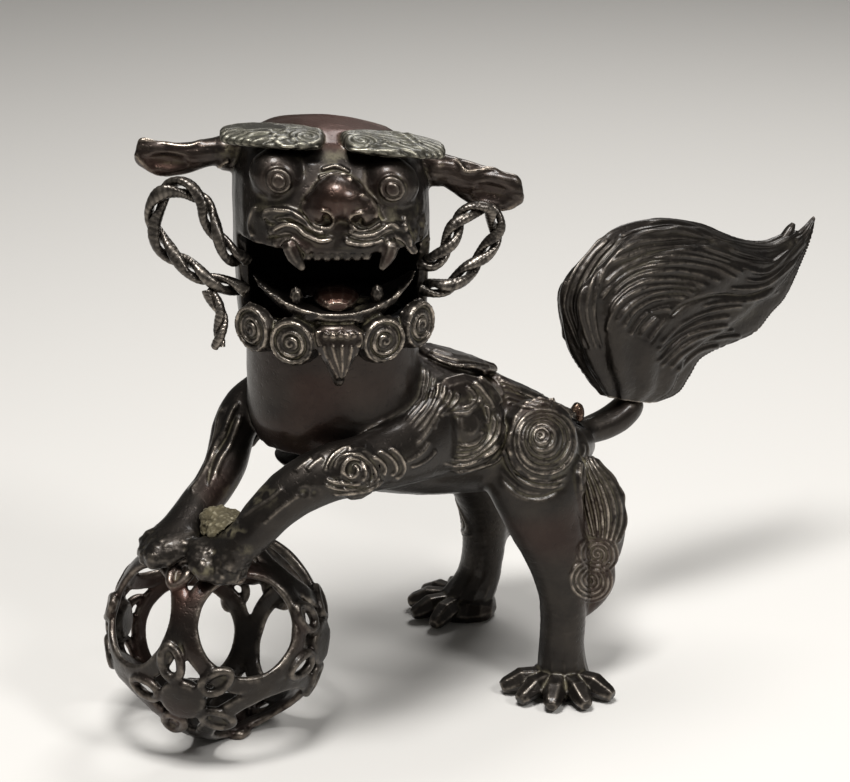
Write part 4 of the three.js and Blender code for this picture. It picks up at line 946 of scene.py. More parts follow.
# Back edge and front edge of each section, behind the rump and above the stem, then its share of thickness.
PLUME_SECTIONS = np.array(
    [
        [8, 13.5, 35.4, 5.8, 0.46],
        [0.9, 22.3, 45.4, 8.8, 0.75],
        [-7, 34, 50.5, 14.5, 0.93],
        [-11, 48, 56, 20.5, 1],
        [-11.9, 59.9, 66, 22.6, 1],
        [-4, 68, 76, 23.8, 1],
        [12.2, 79.3, 86, 25.8, 0.95],
        [32.8, 80.5, 92.5, 31.5, 0.86],
        [54.4, 75.1, 98.6, 36.6, 0.75],
        [72, 67, 103, 43.4, 0.6],
        [87.2, 62.6, 107.4, 51.4, 0.43],
        [99.5, 64, 110.4, 56, 0.27],
        [107, 64, 112.5, 60.5, 0.16],
        [114.6, 69, 115.2, 67.4, 0.05],
    ]
)
PLUME_SPUR = np.array([[97, 59, 2.4], [102, 65, 2], [104, 67.6, 0.9]])
RUMP_BACK = 114.0
TAIL_ROOT_HEIGHT = 83.08
PLUME_THICKNESS = 28.0
PLUME_RIBS = 12
PLUME_RIB_SHARE = 0.05

# Strands of the plume, traced in the photograph from its round back towards its tip.
PLUME_STRANDS = [
    [(620, 238), (630, 233), (641, 230), (657, 227), (671, 226), (685, 229), (700, 233), (716, 239)],
    [(611, 252), (621, 243), (632, 236), (647, 232), (664, 231), (675, 229), (690, 233), (706, 238)],
    [(614, 258), (621, 250.5), (635, 243), (649.5, 240), (664, 239), (680, 238), (696, 240), (711, 244)],
    [(711, 238), (720.5, 243), (728, 246), (735, 250.5), (746, 254), (756, 257), (765, 260), (773, 262)],
    [(608, 264), (618, 259), (630, 255.5), (642, 251), (655, 248), (666, 247), (684, 247), (702, 250)],
    [(635, 261), (647, 257), (658, 254), (671, 252), (685, 250.5), (699, 252), (716, 257), (732, 263)],
    [(603, 286), (610, 279), (621, 270), (632, 264), (647, 259), (661, 257), (675, 255.5), (689, 256),
     (703.5, 258), (715, 261), (725, 265), (735, 270), (745, 275)],
    [(599, 303), (604, 294.5), (612.5, 285), (624, 276), (635, 270), (649.5, 266), (664, 264), (678, 263),
     (689, 263), (701, 265), (712, 267.5), (720.5, 271), (730.5, 276), (740, 280)],
    [(612.5, 296), (621, 286), (635, 277.5), (649.5, 273), (664, 271), (678, 270), (689, 272), (701, 275),
     (711, 279), (722, 282)],
    [(610, 317), (612.5, 306), (621, 296), (630, 289), (641, 283), (652, 280), (664, 279), (675, 279),
     (686, 281), (696, 283), (708, 287)],
    [(607, 333), (608, 323), (614, 310), (624, 299), (635, 292), (649.5, 287), (664, 285), (678, 285),
     (689, 286), (697, 288)],
    [(615, 324), (624, 312), (635, 302), (649.5, 294), (661, 291), (674, 290), (685, 291), (695, 294)],
    [(622, 330), (632, 313), (641, 306), (652, 300), (664, 298), (675, 297), (686, 298)],
    [(649.5, 313), (661, 310), (671, 309)],
    [(630, 336), (635, 327), (641, 319), (650, 311)],
    [(639.5, 337), (644, 330), (649.5, 324), (658, 316)],
    [(649.5, 341), (654, 336), (659, 329), (666.5, 321.5), (672, 316)],
    [(645, 224), (664, 221), (685, 224), (703, 231), (721, 239), (741, 244), (760, 247), (776, 246),
     (790, 238), (800, 228)],
    [(700, 246), (720, 252), (740, 259), (760, 264), (774, 262), (786, 252), (797, 240)],
    [(742, 268), (756, 272), (768, 271), (779, 262), (790, 250), (803, 236)],
    [(744, 279), (758, 281), (770, 277), (782, 267), (794, 254), (806, 240)],
    [(728, 288), (744, 289), (758, 288), (770, 283), (784, 272), (796, 260)],
]
PLUME_LOWER_STRANDS = [
    [(658, 347), (668, 336), (678, 326), (686, 321), (698, 315), (711, 311), (728, 308), (745, 306)],
    [(655, 353), (664, 344), (671, 338), (681, 331.5), (692, 326), (703.5, 321.5), (715, 319),
     (732, 317)],
    [(655, 364), (664, 356), (674, 346), (685, 337), (698, 331.5), (709, 329), (720.5, 327),
     (730.5, 326)],
    [(659, 368), (668, 360), (678, 351), (689, 343), (701, 337), (713, 333), (725, 331), (735, 330)],
    [(668, 371), (681, 356), (692, 348.5), (703.5, 342), (716, 339), (729, 337), (743, 336.5)],
    [(676, 373), (685, 363), (695, 354), (706, 348.5), (720.5, 346)],
    [(701, 307), (713, 304), (728, 302), (742, 302), (756, 299), (766, 296), (780, 290)],
]
PLUME_VEIN = [(649.5, 346), (658, 333), (669, 319), (675, 312), (682, 306), (691, 302), (701, 299),
              (712, 296), (728, 295), (744, 296), (760, 293), (776, 285)]
PLUME_REAR_STRANDS = between(
    [(580.6, 350), (572, 330), (564, 305), (571, 278), (586, 254), (604, 236)],
    [(603, 352), (596, 330), (594, 306), (599, 284), (610, 262), (628, 244)],
    5,
)
PLUME_DUST = [(690, 232, 26, 8, 0.5), (720, 245, 24, 8, 0.45), (745, 315, 20, 14, 0.5),
              (640, 262, 34, 20, 0.3), (700, 290, 40, 12, 0.35), (790, 245, 16, 14, 0.4)]


def behind_rump(back, height):
    return np.stack([np.zeros(len(back)), RUMP_BACK + back, TAIL_ROOT_HEIGHT + height], -1)


def left_skin(points, normals):
    """A skin whose right-hand points are looked at as if they lay on the left, so that both sides match."""
    flip = np.where(points[:, :1] < 0, np.array([[-1.0, 1, 1]]), 1.0)
    return Skin(points * flip, normals * flip)


def plume_mesh():
    """The plume: along its sections, and round each one as an oval from its back edge to its front edge.

    Broad ribs run its whole length, and the traced strands lie on them. Where the photograph does not
    show it, the strands lie side by side, 2.3 mm apart."""
    rows, cols = ((250, 380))
    rail = smooth_line(PLUME_SECTIONS, rows)
    back, front = behind_rump(rail[:, 0], rail[:, 1]), behind_rump(rail[:, 2], rail[:, 3])
    turn = np.linspace(0, 2 * np.pi, cols, False)
    ribs = 1 - PLUME_RIB_SHARE * (1 - np.cos(PLUME_RIBS * turn))
    middle, half_span = (back + front)[:, None, :] / 2, (front - back)[:, None, :] / 2
    grid = middle - half_span * (np.cos(turn) * ribs)[None, :, None]
    grid[..., 0] += rail[:, 4, None] * PLUME_THICKNESS / 2 * (np.sin(turn) * ribs)[None, :]
    normal = unit(np.cross(np.gradient(grid, axis=0), np.roll(grid, -1, 1) - np.roll(grid, 1, 1)))
    normal = np.where((normal * (grid - middle)).sum(-1, keepdims=True) < 0, -normal, normal)
    look = left_skin(grid.reshape(-1, 3), normal.reshape(-1, 3))
    traced = ridges(look.spots, PLUME_STRANDS, 2.1, 0.85, 0.06)
    traced = np.maximum(traced, ridges(look.spots, PLUME_LOWER_STRANDS, 2.1, 0.85, 0.06))
    traced = np.maximum(traced, ridges(look.spots, PLUME_REAR_STRANDS, STRAND, 0.7, 0.06))
    traced = traced - ridges(look.spots, [PLUME_VEIN], 1.6, 0.8, 0.05)
    girth = np.linalg.norm(np.diff(grid, axis=1, append=grid[:, :1]), axis=-1).cumsum(1)
    plain = 0.6 * comb(girth / 2.3 + 0.25 * lumps(look.points, 14.0).reshape(rows, cols)).ravel()
    seen_share = smoothstep(0.15, 0.6, look.facing)
    height = (traced * seen_share + plain * (1 - seen_share)).reshape(rows, cols)
    along = np.linspace(0, 1, rows)[:, None]
    height = height * smoothstep(0, 0.05, along) * smoothstep(1, 0.95, along)
    height = height + 0.08 * lumps(look.points * np.array([2.0, 1, 1]), 1.3).reshape(rows, cols)
    tip = smooth_line(PLUME_SPUR, 24)
    spur_line = behind_rump(tip[:, 0], tip[:, 1])
    _, side, rise = line_axes(spur_line, np.array([1.0, 0, 0]))
    about = turn[::8][None, :, None]
    round_way = np.cos(about) * side[:, None, :] + np.sin(about) * rise[:, None, :]
    spur = spur_line[:, None, :] + round_way * tip[:, 2, None, None]
    points, faces = joined_mesh([tube_mesh(grid + normal * height[..., None]), tube_mesh(spur)])
    mesh = outward_mesh("plume", LION.to_frame(points), faces)
    set_points(mesh, mesh_points(mesh))
    look = left_skin(points, np.tile([1.0, 0, 0], (len(points), 1)))
    mark(mesh, wear_marks(mesh, 0.55 * blobs(look.spots, PLUME_DUST) + 0.12 * lumps(points, 9.0)))
    return mesh


show("cast_tail_plume", plume_mesh(), ["tail_plume"], "lion", DARK)

# Body

SHOULDER_STRANDS = [
    [(440.5, 418), (442, 415), (446, 413.5), (457, 413.4), (467, 413), (473, 408), (477, 404),
     (483, 395)],
    [(434, 429.5), (435, 424), (436, 421), (439, 417)],
    [(481, 429.5), (481, 435), (478, 440), (472, 444), (463, 445), (455, 443)],
    [(484, 430.5), (484, 437), (480, 443), (474, 447), (467, 449.5), (455, 449.5)],
    [(494, 414), (494, 424), (492, 433), (487, 441), (481, 447), (474, 452), (463, 455), (453, 455)],
    [(499, 412), (499, 424), (497, 436), (490.5, 444), (484, 449.5), (469.5, 459), (459, 460),
     (447, 459)],
    [(505, 420), (503, 431), (501, 441), (493, 450.5), (486, 455), (478, 460), (463, 465),
     (450.5, 465), (441, 463)],
    [(510, 430), (508, 445), (502, 454), (495, 461), (484, 465), (474, 468), (463, 471), (455, 471)],
    [(487, 405), (488, 414), (487, 424)],
    [(481, 370.5), (487, 375), (493, 380), (499, 387), (504, 398)],
    [(473, 382), (480, 387), (486, 395), (490.5, 401), (494, 410)],
    [(478, 376), (484, 381), (491, 388), (497, 396), (501, 406)],
    [(466, 386), (472, 391), (475, 398), (471, 405), (462, 408)],
    [(423, 366), (424, 377), (423, 387), (420.5, 399), (416, 405), (409.5, 413), (402, 420)],
    [(427, 368), (428, 380), (426, 392), (423, 401), (419, 407), (412, 415), (405, 423)],
    [(433, 375), (432, 388), (429, 400), (423, 409), (416, 417), (408, 426)],
    [(438, 381), (437, 393), (433, 404), (428, 412), (421, 420), (413, 429)],
    [(445, 384), (443, 395), (438, 404), (433, 413), (426, 424), (418, 433)],
    [(452, 388), (449, 398), (445, 406), (438, 414), (431, 427), (423, 438), (414, 447)],
    [(459, 392), (456, 401), (450, 408), (443, 413)],
    [(430, 440), (424, 450), (414, 458), (404, 463)],
    [(437, 449), (430, 457), (420, 464), (409, 468)],
]
SHOULDER_PITS = [[(438, 433), (438, 438)], [(443, 439), (443, 443)], [(411, 472.5), (419, 470.5),
                  (427, 466),
                 (436, 461), (442, 454), (447, 446)]]
HAUNCH_MIDDLE = (540, 435)
HAUNCH_DRIFT = (5, 7)
HAUNCH_RADIUS = 33
HAUNCH_PITCH = 4.7
HAUNCH_CRESCENTS = [
    [(505, 447), (506, 456), (509, 465), (514, 473), (521, 480), (532, 485), (544, 487), (556, 486),
     (566, 481)],
    [(510, 440), (510, 450), (512, 459), (517, 468), (524, 475), (534, 480), (546, 481.5), (558, 480),
     (569, 475)],
    [(581, 440), (583, 450.5), (579, 461), (577, 472), (578, 487), (579, 498)],
    [(577, 425), (582, 436), (587, 448), (586, 460), (583, 472), (583, 486)],
    [(557, 403), (566, 410), (573, 420), (578, 432)],
    [(548, 400), (560, 400), (570, 408), (577, 417)],
]
HAUNCH_DOME = (545, 441)
HAUNCH_DOME_RADIUS = 34
HAUNCH_FOLD = [[(500, 470), (505, 480), (513, 488), (521, 494), (532, 497), (545, 496), (556, 491),
                (568, 486)]]
BACK_PLATE_STRANDS = between(
    [(497, 375), (509.5, 380), (521, 384), (533, 389.5), (545, 394), (556, 401)],
    [(507, 402), (515, 405), (523, 407), (532, 408), (541, 409), (551, 410)],
    6,
)
NAPE_STRANDS = between(
    [(436, 344), (446, 344.5), (455, 345), (466, 346), (475, 350), (484, 358), (493, 365), (499, 373)],
    [(426, 354), (436, 359), (446, 363), (456, 366), (466, 366), (476, 366), (486, 367), (495, 372)],
    5,
)
TUFT_STRANDS = between(
    [(580, 462), (577, 475), (578, 490), (581, 508), (585, 524), (590, 536)],
    [(591, 452), (601, 466), (612, 477), (621, 490), (626, 507), (624, 526), (616, 545)],
    8,
)
TUFT_CURL = (596.9, 553.5)
TUFT_LOWER_CURL = (590, 580)
TUFT_CURL_PITCH = 4.5
TUFT_CURL_RADIUS = 22
TUFT_LOWER_RADIUS = 23
TUFT_CURLS_TOP = (536, 544)
TUFT_CURLS_SIDE = (560, 572)
NEAR_ELBOW_STRANDS = [
    [(351, 470), (355, 466.5), (358, 471), (355, 476), (348, 477), (343, 472), (344.2, 464.3),
     (349.6, 458.9), (357.8, 459.6), (364, 467), (364.7, 476.7), (360.6, 482)],
    [(333.2, 470), (337.3, 460.9), (344, 456), (351, 454.3), (359, 455), (366, 459.5), (371.5, 465.7),
     (375.6, 475.3), (371.5, 482), (363.3, 486.2)],
    [(325, 479.4), (334, 482), (344.2, 483.5), (353, 484), (361.9, 483)],
    [(322, 483), (334.6, 488), (351, 489.5), (363.3, 487.5), (373, 483), (380, 476)],
    [(330.5, 494), (346.9, 493.4), (363.3, 491.6), (374, 487), (384, 479)],
    [(325, 472), (328, 463), (334, 455), (343, 449), (353, 447.5)],
    [(389.3, 447.9), (396.2, 452), (401.6, 458.9), (404.4, 467), (401.6, 474), (394, 480)],
    [(378, 451), (387, 455), (394, 462), (396, 470), (390, 477)],
    [(372, 456), (380, 461), (385, 468), (383, 476)],
]
NEAR_LEG_CREASES = [
    [(294, 472), (303, 464), (313, 457)],
    [(307, 471), (315, 463), (324, 457)],
    [(246.4, 514), (256.6, 507.4), (270.3, 498.5), (284, 487)],
    [(262, 526), (274, 514), (288, 503), (300, 494)],
    [(236, 522), (246, 515), (256, 508)],
]
NEAR_LEG_PITS = [(303.8, 491.7, 5, 4, 1.0), (314.7, 493, 4, 4, 0.8)]
FAR_LEG_STRANDS = [
    [(240, 400), (233, 410), (229, 420), (225, 430), (219, 440), (214, 452), (210, 464), (206, 476)],
    [(228, 404), (219, 414), (216, 426), (214, 438), (210, 450), (207, 462), (202, 474), (194, 488)],
    [(243, 414), (237, 426), (233, 437), (229, 447), (222, 458), (217, 469), (213, 481)],
    [(214, 458), (205, 470), (198, 482), (189, 494)],
]
FAR_LEG_GROOVES = [
    [(236.8, 412), (231, 424), (226.5, 436), (219, 448), (212.8, 460), (209, 474), (208, 488)],
    [(222, 404), (216, 418), (214, 430), (211, 443), (206, 456), (201, 470), (192, 484)],
]
PAW_LUMPS = [(150, 535, 34, 30, 1.0), (190, 525, 30, 30, 1.0), (214, 552, 32, 26, 1.0),
             (240, 540, 28, 26, 1.0), (120, 560, 28, 26, 1.0), (230, 570, 30, 20, 1.0)]
PALE_SOLDER = [(232, 532, 16, 7, 1.0), (246, 550, 9, 6, 0.9), (200, 572, 26, 6, 1.0),
               (248, 492, 30, 18, 0.8), (150, 540, 20, 10, 0.3)]
HAIR_DUST = [(505, 392, 26, 12, 0.45), (552, 402, 20, 8, 0.5), (475, 352, 24, 8, 0.35),
             (500, 445, 18, 26, 0.25), (560, 470, 24, 20, 0.35), (600, 480, 14, 30, 0.2),
             (596, 560, 20, 22, 0.3), (630, 392, 14, 8, 0.3)]


def body_strands(look):
    """Heights of the hair on shoulder, haunch, back and hocks, as traced on the near side."""
    spots = look.spots
    hair = ridges(spots, SHOULDER_STRANDS, STRAND, 1.0, 0.1) - ridges(spots, SHOULDER_PITS, 2.2, 0.9, 0.1)
    haunch = rings(spots, HAUNCH_MIDDLE, HAUNCH_PITCH, HAUNCH_RADIUS, 1.06, HAUNCH_DRIFT)
    rim = ridges(spots, HAUNCH_CRESCENTS, 2.2, 0.9, 0.12) - ridges(spots, HAUNCH_FOLD, 2.4, 0.7, 0.2)
    away = np.hypot(*(spots - HAUNCH_MIDDLE).T)
    pit = 0.9 * np.exp(-((away / 4.0) ** 2))
    swell = 0.35 * dome(spots, HAUNCH_DOME, HAUNCH_DOME_RADIUS)
    hair = hair + 0.75 * haunch + swell + rim * (away > 24) - pit
    plates = ridges(spots, BACK_PLATE_STRANDS + NAPE_STRANDS, 1.6, 0.75, 0.06)
    tuft = ridges(spots, TUFT_STRANDS, 1.8, 1.1, 0.05)
    upper = whorl(spots, TUFT_CURL, TUFT_CURL_PITCH, TUFT_CURL_RADIUS, 1)
    lower = whorl(spots, TUFT_LOWER_CURL, TUFT_CURL_PITCH, TUFT_LOWER_RADIUS, 1, 0.3)
    curls = np.maximum(upper, lower)
    low = smoothstep(*TUFT_CURLS_TOP, spots[:, 1]) * smoothstep(*TUFT_CURLS_SIDE, spots[:, 0])
    return look.facing * (hair + plates + tuft + 0.8 * curls * low)


# Faint folds round the shank of a hind leg, about a height in millimetres.
SHANK_MIDDLE = 40
SHANK_FOLD = 0.35 * 0.25


def lion_relief(casting, skin, own):
    """Hair on both flanks, twisted strands on the forelegs, and paws lumpy with solder."""
    look = left_skin(skin.points, skin.normals)
    near_leg = casting.named("foreleg_left", "elbow_scroll_left")
    far_leg = casting.named("foreleg_right", "elbow_scroll_right")
    height = np.where(near_leg | far_leg, 0.0, body_strands(look))
    near = ridges(skin.spots, NEAR_ELBOW_STRANDS, STRAND, 0.95, 0.08)
    near = near + ridges(skin.spots, NEAR_LEG_CREASES, 2.6, 0.5)
    near = near - 0.9 * blobs(skin.spots, NEAR_LEG_PITS) + ridges(skin.spots, SHOULDER_STRANDS, STRAND, 0.6)
    far = ridges(skin.spots, FAR_LEG_STRANDS, 2.9, 1.0) - ridges(skin.spots, FAR_LEG_GROOVES, 1.7, 0.8)
    height = height + near_leg * near * skin.facing + far_leg * far * skin.facing
    bowl = casting.named("bowl_lining")
    paws = (near_leg | far_leg) * blobs(skin.spots, PAW_LUMPS) * smoothstep(86, 76, own[:, 2])
    lumpy = 0.7 + 1.5 * lumps(own, 5.5, 1.0) + 0.8 * lumps(own, 2.6, 9.0) + 0.3 * lumps(own, 1.2)
    folds = comb(own[:, 2] / 3.1 + 0.6 * lumps(own, 8.0))
    shank = smoothstep(0.5, 0.2, np.abs(own[:, 2] - SHANK_MIDDLE) / 60)
    hind = casting.named("hind_leg") * SHANK_FOLD * folds * shank
    return np.where(bowl, 0.0, height + paws * lumpy + hind)


def lion_stain(casting, skin, own):
    """Yellow dust in the hair, pale solder on the paws, and redder metal in clouds and on the neck."""
    look = left_skin(skin.points, skin.normals)
    paws = casting.named("foreleg")
    dust = 0.7 * blobs(look.spots, HAIR_DUST) * (own[:, 1] > 20)
    dust = dust + paws * blobs(skin.spots, PALE_SOLDER) * smoothstep(0.1, 0.6, 0.5 + lumps(own, 2.2))
    warm = 0.2 * smoothstep(0.1, 0.7, lumps(own, 22.0, 3.0)) + 0.1 * smoothstep(110, 140, own[:, 2])
    return dust, warm


# The neck's bore is narrower than this radius, and starts above this height.
NECK_FIT = 33.0
NECK_FOOT = 112
# The hollow of the bowl lies round a line along the body, between two places behind the neck's axis.
SPINE_ENDS = (5, 95)
SPINE_HEIGHT = 103.0


def looks_at(middle, own, ways):
    """Which faces look towards a middle place more than away from it."""
    out = own - middle
    return (out * ways).sum(1) < -0.1 * np.linalg.norm(out, axis=1)


def body_inward(own, ways):
    """Faces of the body's solid that look at the hollow of the bowl.

    A fault: two patches of the outer skin, on top of the rump beside the tail's root, count as well."""
    in_neck = (np.hypot(own[:, 0], own[:, 1]) < NECK_FIT) & (own[:, 2] > NECK_FOOT)
    spine = np.stack([own[:, 0] * 0, np.clip(own[:, 1], *SPINE_ENDS), np.full(len(own), SPINE_HEIGHT)], -1)
    return looks_at(np.where(in_neck[:, None], own * [0, 0, 1], spine), own, ways)


def lion_zone(node, own, ways):
    """The piece that each face of a solid belongs to: the body is cut into left, right and the bowl."""
    if node != "body_shell":
        return np.full(len(own), node)
    side = np.where(own[:, 0] > 0, "body_shell_left", "body_shell_right")
    return np.where(body_inward(own, ways), "bowl_lining", side)


# The solids stand 0.3 mm apart at a brazed joint, and swell by this to close it.
JOINT_FILL = 0.26


def lion_grow(node, own, ways):
    """How far each solid swells, so that brazed pieces meet. The neck and the bowl keep their fit."""
    if node != "body_shell":
        return np.full(len(own), JOINT_FILL)
    fixed = body_inward(own, ways) | ((np.hypot(own[:, 0], own[:, 1]) < NECK_FIT) & (own[:, 2] > 125))
    return np.where(fixed, 0.0, JOINT_FILL)


def lion_finish(zone):
    """The node, slot and finish of each piece."""
    if zone.startswith("bowl"):
        return "body_shell", "dark_bronze", SOOTY
    node = "body_shell" if zone.startswith("body_shell") else zone
    return node, "dark_bronze", DARK


SIDES = ("left", "right")
LION_NODES = ["body_shell", "nape_leaf", "back_leaf", "rump_leaf", "tail_stem"]
PAIRED_ON_LION = ("foreleg", "hind_leg", "shoulder_scroll", "haunch_scroll", "elbow_scroll", "hock_tuft",
                  "hock_curl")
LION_NODES += [f"{part}_{side}" for part in PAIRED_ON_LION for side in SIDES]
LION_CELL = 0.46


def lion_smoothing(casting, own):
    """Legs, body and tail are smooth castings; toes and scrolls keep their edges."""
    hind = casting.named("hind_leg") * smoothstep(12, 22, own[:, 2])
    fore = casting.named("foreleg") * smoothstep(66, 84, own[:, 2])
    trunk = casting.named("body_shell", "tail_stem", "bowl_lining")
    return hind + fore + trunk + 0.4 * casting.named("hock")


lion_casting = Casting(LION_NODES, LION_CELL, LION, lion_zone, lion_grow)
lion_casting.ease(14)
lion_casting.ease(65, 0.5, lion_smoothing)
lion_casting.carve(lion_relief, lion_stain)
lion_casting.pieces("lion", lion_finish)


def solder_relief(skin, own):
    """Granular: lumps from 4 mm down to under 1 mm."""
    return 0.9 * lumps(own, 4.2) + 0.6 * lumps(own, 2.0, 4.0) + 0.35 * lumps(own, 0.9, 8.0)


carved("tail_rivet", 0.3, 5, RUBBED, "rubbed_bronze")
carved("paw_solder", 0.4, 3, SOLDER, "solder", relief=solder_relief)

# Head

WRINKLES = [
    [(261, 214.6), (270, 210), (280, 210.5), (290, 211.5), (298, 216), (305, 221), (310, 227),
     (319, 232), (325.5, 233)],
    [(274, 219), (284, 217), (292, 217), (298, 221), (307, 226.5), (314, 230), (321, 233)],
    [(272, 232), (277, 228), (284, 225), (292, 225), (298, 228), (304, 234), (312, 238), (321, 241),
     (328, 240), (335, 237)],
    [(348, 229), (353, 233), (359.5, 235.5), (368.5, 235), (376.5, 233), (384, 228), (391, 225),
     (396, 226.5), (399, 230)],
    [(348, 235), (355, 238), (364, 239.5), (373, 238), (382, 233), (388, 230), (393, 229)],
    [(344, 240), (350, 243), (359.5, 244.6), (368.5, 244), (378, 242), (384, 239)],
    [(280, 247), (284, 242), (290, 240), (297, 243), (304, 248.5), (309, 255)],
    [(251, 247), (260, 249), (268, 247)],
    [(393, 237), (399, 238), (405, 243), (409, 251), (413, 258)],
    [(386, 240), (392, 243), (397, 249), (400, 257)],
    [(256, 206), (252, 214), (250, 226), (254, 238)],
    [(404, 214), (405, 226), (409, 238), (411, 248)],
]
WRINKLE_GROOVES = [
    [(284, 221.5), (292, 221.5), (301, 224.5), (307, 229), (314, 233), (321, 236.5), (330, 236)],
    [(264, 219), (270, 224), (276, 223.5)],
    [(352, 231.5), (360, 233), (369, 232), (378, 229.5), (386, 225)],
    [(300, 207), (306, 216), (313, 227), (322, 230)],
    [(378, 205), (380, 214), (384, 221)],
    [(266, 238), (276, 237), (284, 236), (292, 236.5)],
]
NOSE_STRANDS = [
    [(305, 201), (304, 209), (307, 217), (313, 223.5)],
    [(359.5, 194), (368.5, 200), (375, 209), (375, 219)],
    [(319, 210), (329, 211), (334, 218), (331, 226), (324, 228.5), (316.5, 227), (310, 222.5)],
    [(366, 212), (353, 213.5), (349, 220), (353, 228), (361, 232), (371, 230), (376.5, 226), (382, 224)],
    [(321, 170), (328, 168), (335, 166.5), (342, 168.5), (350, 173)],
    [(318, 178), (327, 175), (336, 174), (345, 176), (353, 181)],
]
NOSE_PITS = [(326, 219, 3.4, 3.8, 1.0), (360, 222, 3.4, 3.8, 1.0), (341, 214, 3, 9, 0.35)]
BROW_STRANDS = [
    [(239.5, 137.6), (250, 141.6), (263, 139), (271, 138), (279, 144), (288, 146), (298, 145),
     (312, 144), (321, 141)],
    [(241, 132), (254, 134), (267, 132), (278, 137), (290, 139), (302, 138)],
    [(242, 128), (256, 127), (268, 125.5), (280, 129), (292, 132)],
    [(342, 142), (347, 149), (359.5, 150), (373, 151), (385.5, 152), (398, 151), (411.5, 152),
     (422, 159), (429, 156)],
    [(376, 128), (392, 131), (405, 138), (418, 148), (427, 153.5)],
    [(384, 126), (399, 129), (412, 137), (423, 146)],
    [(364, 145), (378, 146), (391, 143), (402, 144)],
]
JAW_STRANDS = [
    [(257, 282), (264.5, 286), (272, 292), (278, 298), (283, 306)],
    [(248, 288), (256, 292), (265, 298), (273, 306), (281, 313)],
    [(384, 312), (392, 304), (398, 294), (400.5, 286)],
    [(392, 317), (400, 308), (405, 297)],
    [(292, 319), (302, 319), (311.5, 319.5), (318, 317), (326, 319), (338, 320), (351, 319),
     (361, 321), (374, 322)],
]
JAW_GROOVES = [[(252, 299), (264.5, 305), (274, 313), (284, 319), (292, 324), (311.5, 325),
                (318, 322.5), (326, 325), (351, 325), (361, 327), (371, 329), (384.5, 325), (393, 319)]]
CHIN_STRANDS = [
    [(323, 344), (327, 356), (334, 369), (340, 381)],
    [(332, 343), (335, 356), (339, 369), (341, 381)],
    [(342, 343), (342, 356), (342, 369), (341, 381)],
    [(352, 344), (350, 356), (347, 368), (342, 380)],
    [(314, 332), (312, 341), (315, 350), (321, 357)],
    [(363, 332), (366, 341), (362, 350), (356, 358)],
    [(318, 330), (318, 339), (321, 347)],
    [(359, 331), (361, 340), (357, 348)],
]
CHIN_BEADS = [(326, 335), (333, 336), (341, 335), (347, 336), (353, 335)]
EAR_STRANDS = [
    [(134.9, 152.2), (141, 160.9), (149.7, 169.5), (164.6, 178.2)],
    [(199.2, 179.4), (209, 173.2), (224, 163.3), (230, 160)],
    [(131.8, 148.5), (137.4, 141), (148.5, 139.2), (162, 141.7), (174.5, 145.4), (191.8, 145.4),
     (206, 138)],
    [(453.7, 198), (460.8, 206.2), (468, 211), (476, 212), (489.4, 213.5), (498.4, 212.5), (511, 207),
     (519, 202)],
    [(450, 156), (458, 162), (466, 171), (480.5, 169.5), (498.4, 168), (513.6, 168), (521, 175),
     (527, 185)],
]
FACE_DUST = [(424, 236, 14, 32, 0.95), (335, 157, 16, 8, 0.6), (262, 205, 8, 16, 0.4),
             (300, 158, 24, 5, 0.4), (348, 206, 20, 6, 0.3), (392, 214, 8, 12, 0.5),
             (405, 180, 8, 14, 0.35), (357, 303, 8, 10, 0.9), (438, 168, 9, 16, 0.5),
             (226, 151, 10, 8, 0.9), (132, 147, 6, 8, 0.7), (345, 250, 30, 4, 0.3),
             (300, 330, 34, 6, 0.3), (400, 322, 20, 8, 0.35)]
BROW_DUST = [(255, 128, 26, 8, 0.7), (300, 130, 20, 8, 0.6), (360, 134, 24, 10, 0.6),
             (410, 135, 22, 10, 0.7)]
FACE_WARM = [(325, 113, 46, 9, 1.0), (335, 205, 24, 20, 0.75), (385, 186, 22, 16, 0.35),
             (275, 180, 22, 16, 0.3), (160, 165, 30, 12, 0.6), (300, 245, 30, 10, 0.35),
             (330, 292, 22, 10, 0.8), (390, 258, 10, 12, 0.4), (485, 190, 24, 10, 0.35)]

ROUGH_CHEEK = [(424, 236, 12, 34, 1.0)]
TONGUE_DUST = [(357, 303, 8, 10, 1.0)]

EYE_MIDDLE = np.array([19.3, 56.5])
EYE_RING = 3.9
PUPIL_RADIUS = 2.4
OUTER_CURL = np.array([27.5, 4.0])
INNER_CURL = np.array([15.0, 1.5])
CURL_RADIUS = 9.6
CURL_PITCH = 1.9
BEARD_REACH = 36.5
BROW_CURL = (9.0, -24.0)
BROW_CURL_RADIUS = 7.5


def eye_relief(own):
    """A ring round a domed pupil, between two grooves: circles about the eye's middle, in millimetres."""
    away = np.hypot(np.abs(own[:, 0]) - EYE_MIDDLE[0], own[:, 2] - EYE_MIDDLE[1])
    ring = 0.3 * np.exp(-(((away - EYE_RING) / 0.5) ** 2))
    grooves = 0.5 * np.exp(-(((away - 2.9) / 0.45) ** 2)) + 0.3 * np.exp(-(((away - 4.9) / 0.6) ** 2))
    flat = np.stack([np.abs(own[:, 0]), own[:, 2]], -1)
    return ring - grooves + 0.3 * dome(flat, EYE_MIDDLE, PUPIL_RADIUS)


def curl_relief(own, outer):
    """Spirals on the beard's curls: flat places across and up each curl, in millimetres from its middle."""
    out, rise = OUTER_CURL if outer else INNER_CURL
    side = np.sign(own[:, 0])
    middle_way = np.array([out, -math.sqrt(BEARD_REACH**2 - out**2)]) / BEARD_REACH
    across = (own[:, 0] * side) * -middle_way[1] + own[:, 1] * middle_way[0]
    flat = np.stack([across, own[:, 2] - rise], -1)
    face = smoothstep(34.5, 36.5, (own[:, 0] * side) * middle_way[0] + own[:, 1] * middle_way[1])
    return 0.75 * (whorl(flat, (0, 0), CURL_PITCH, CURL_RADIUS, 1, 0.2) - 0.4) * face


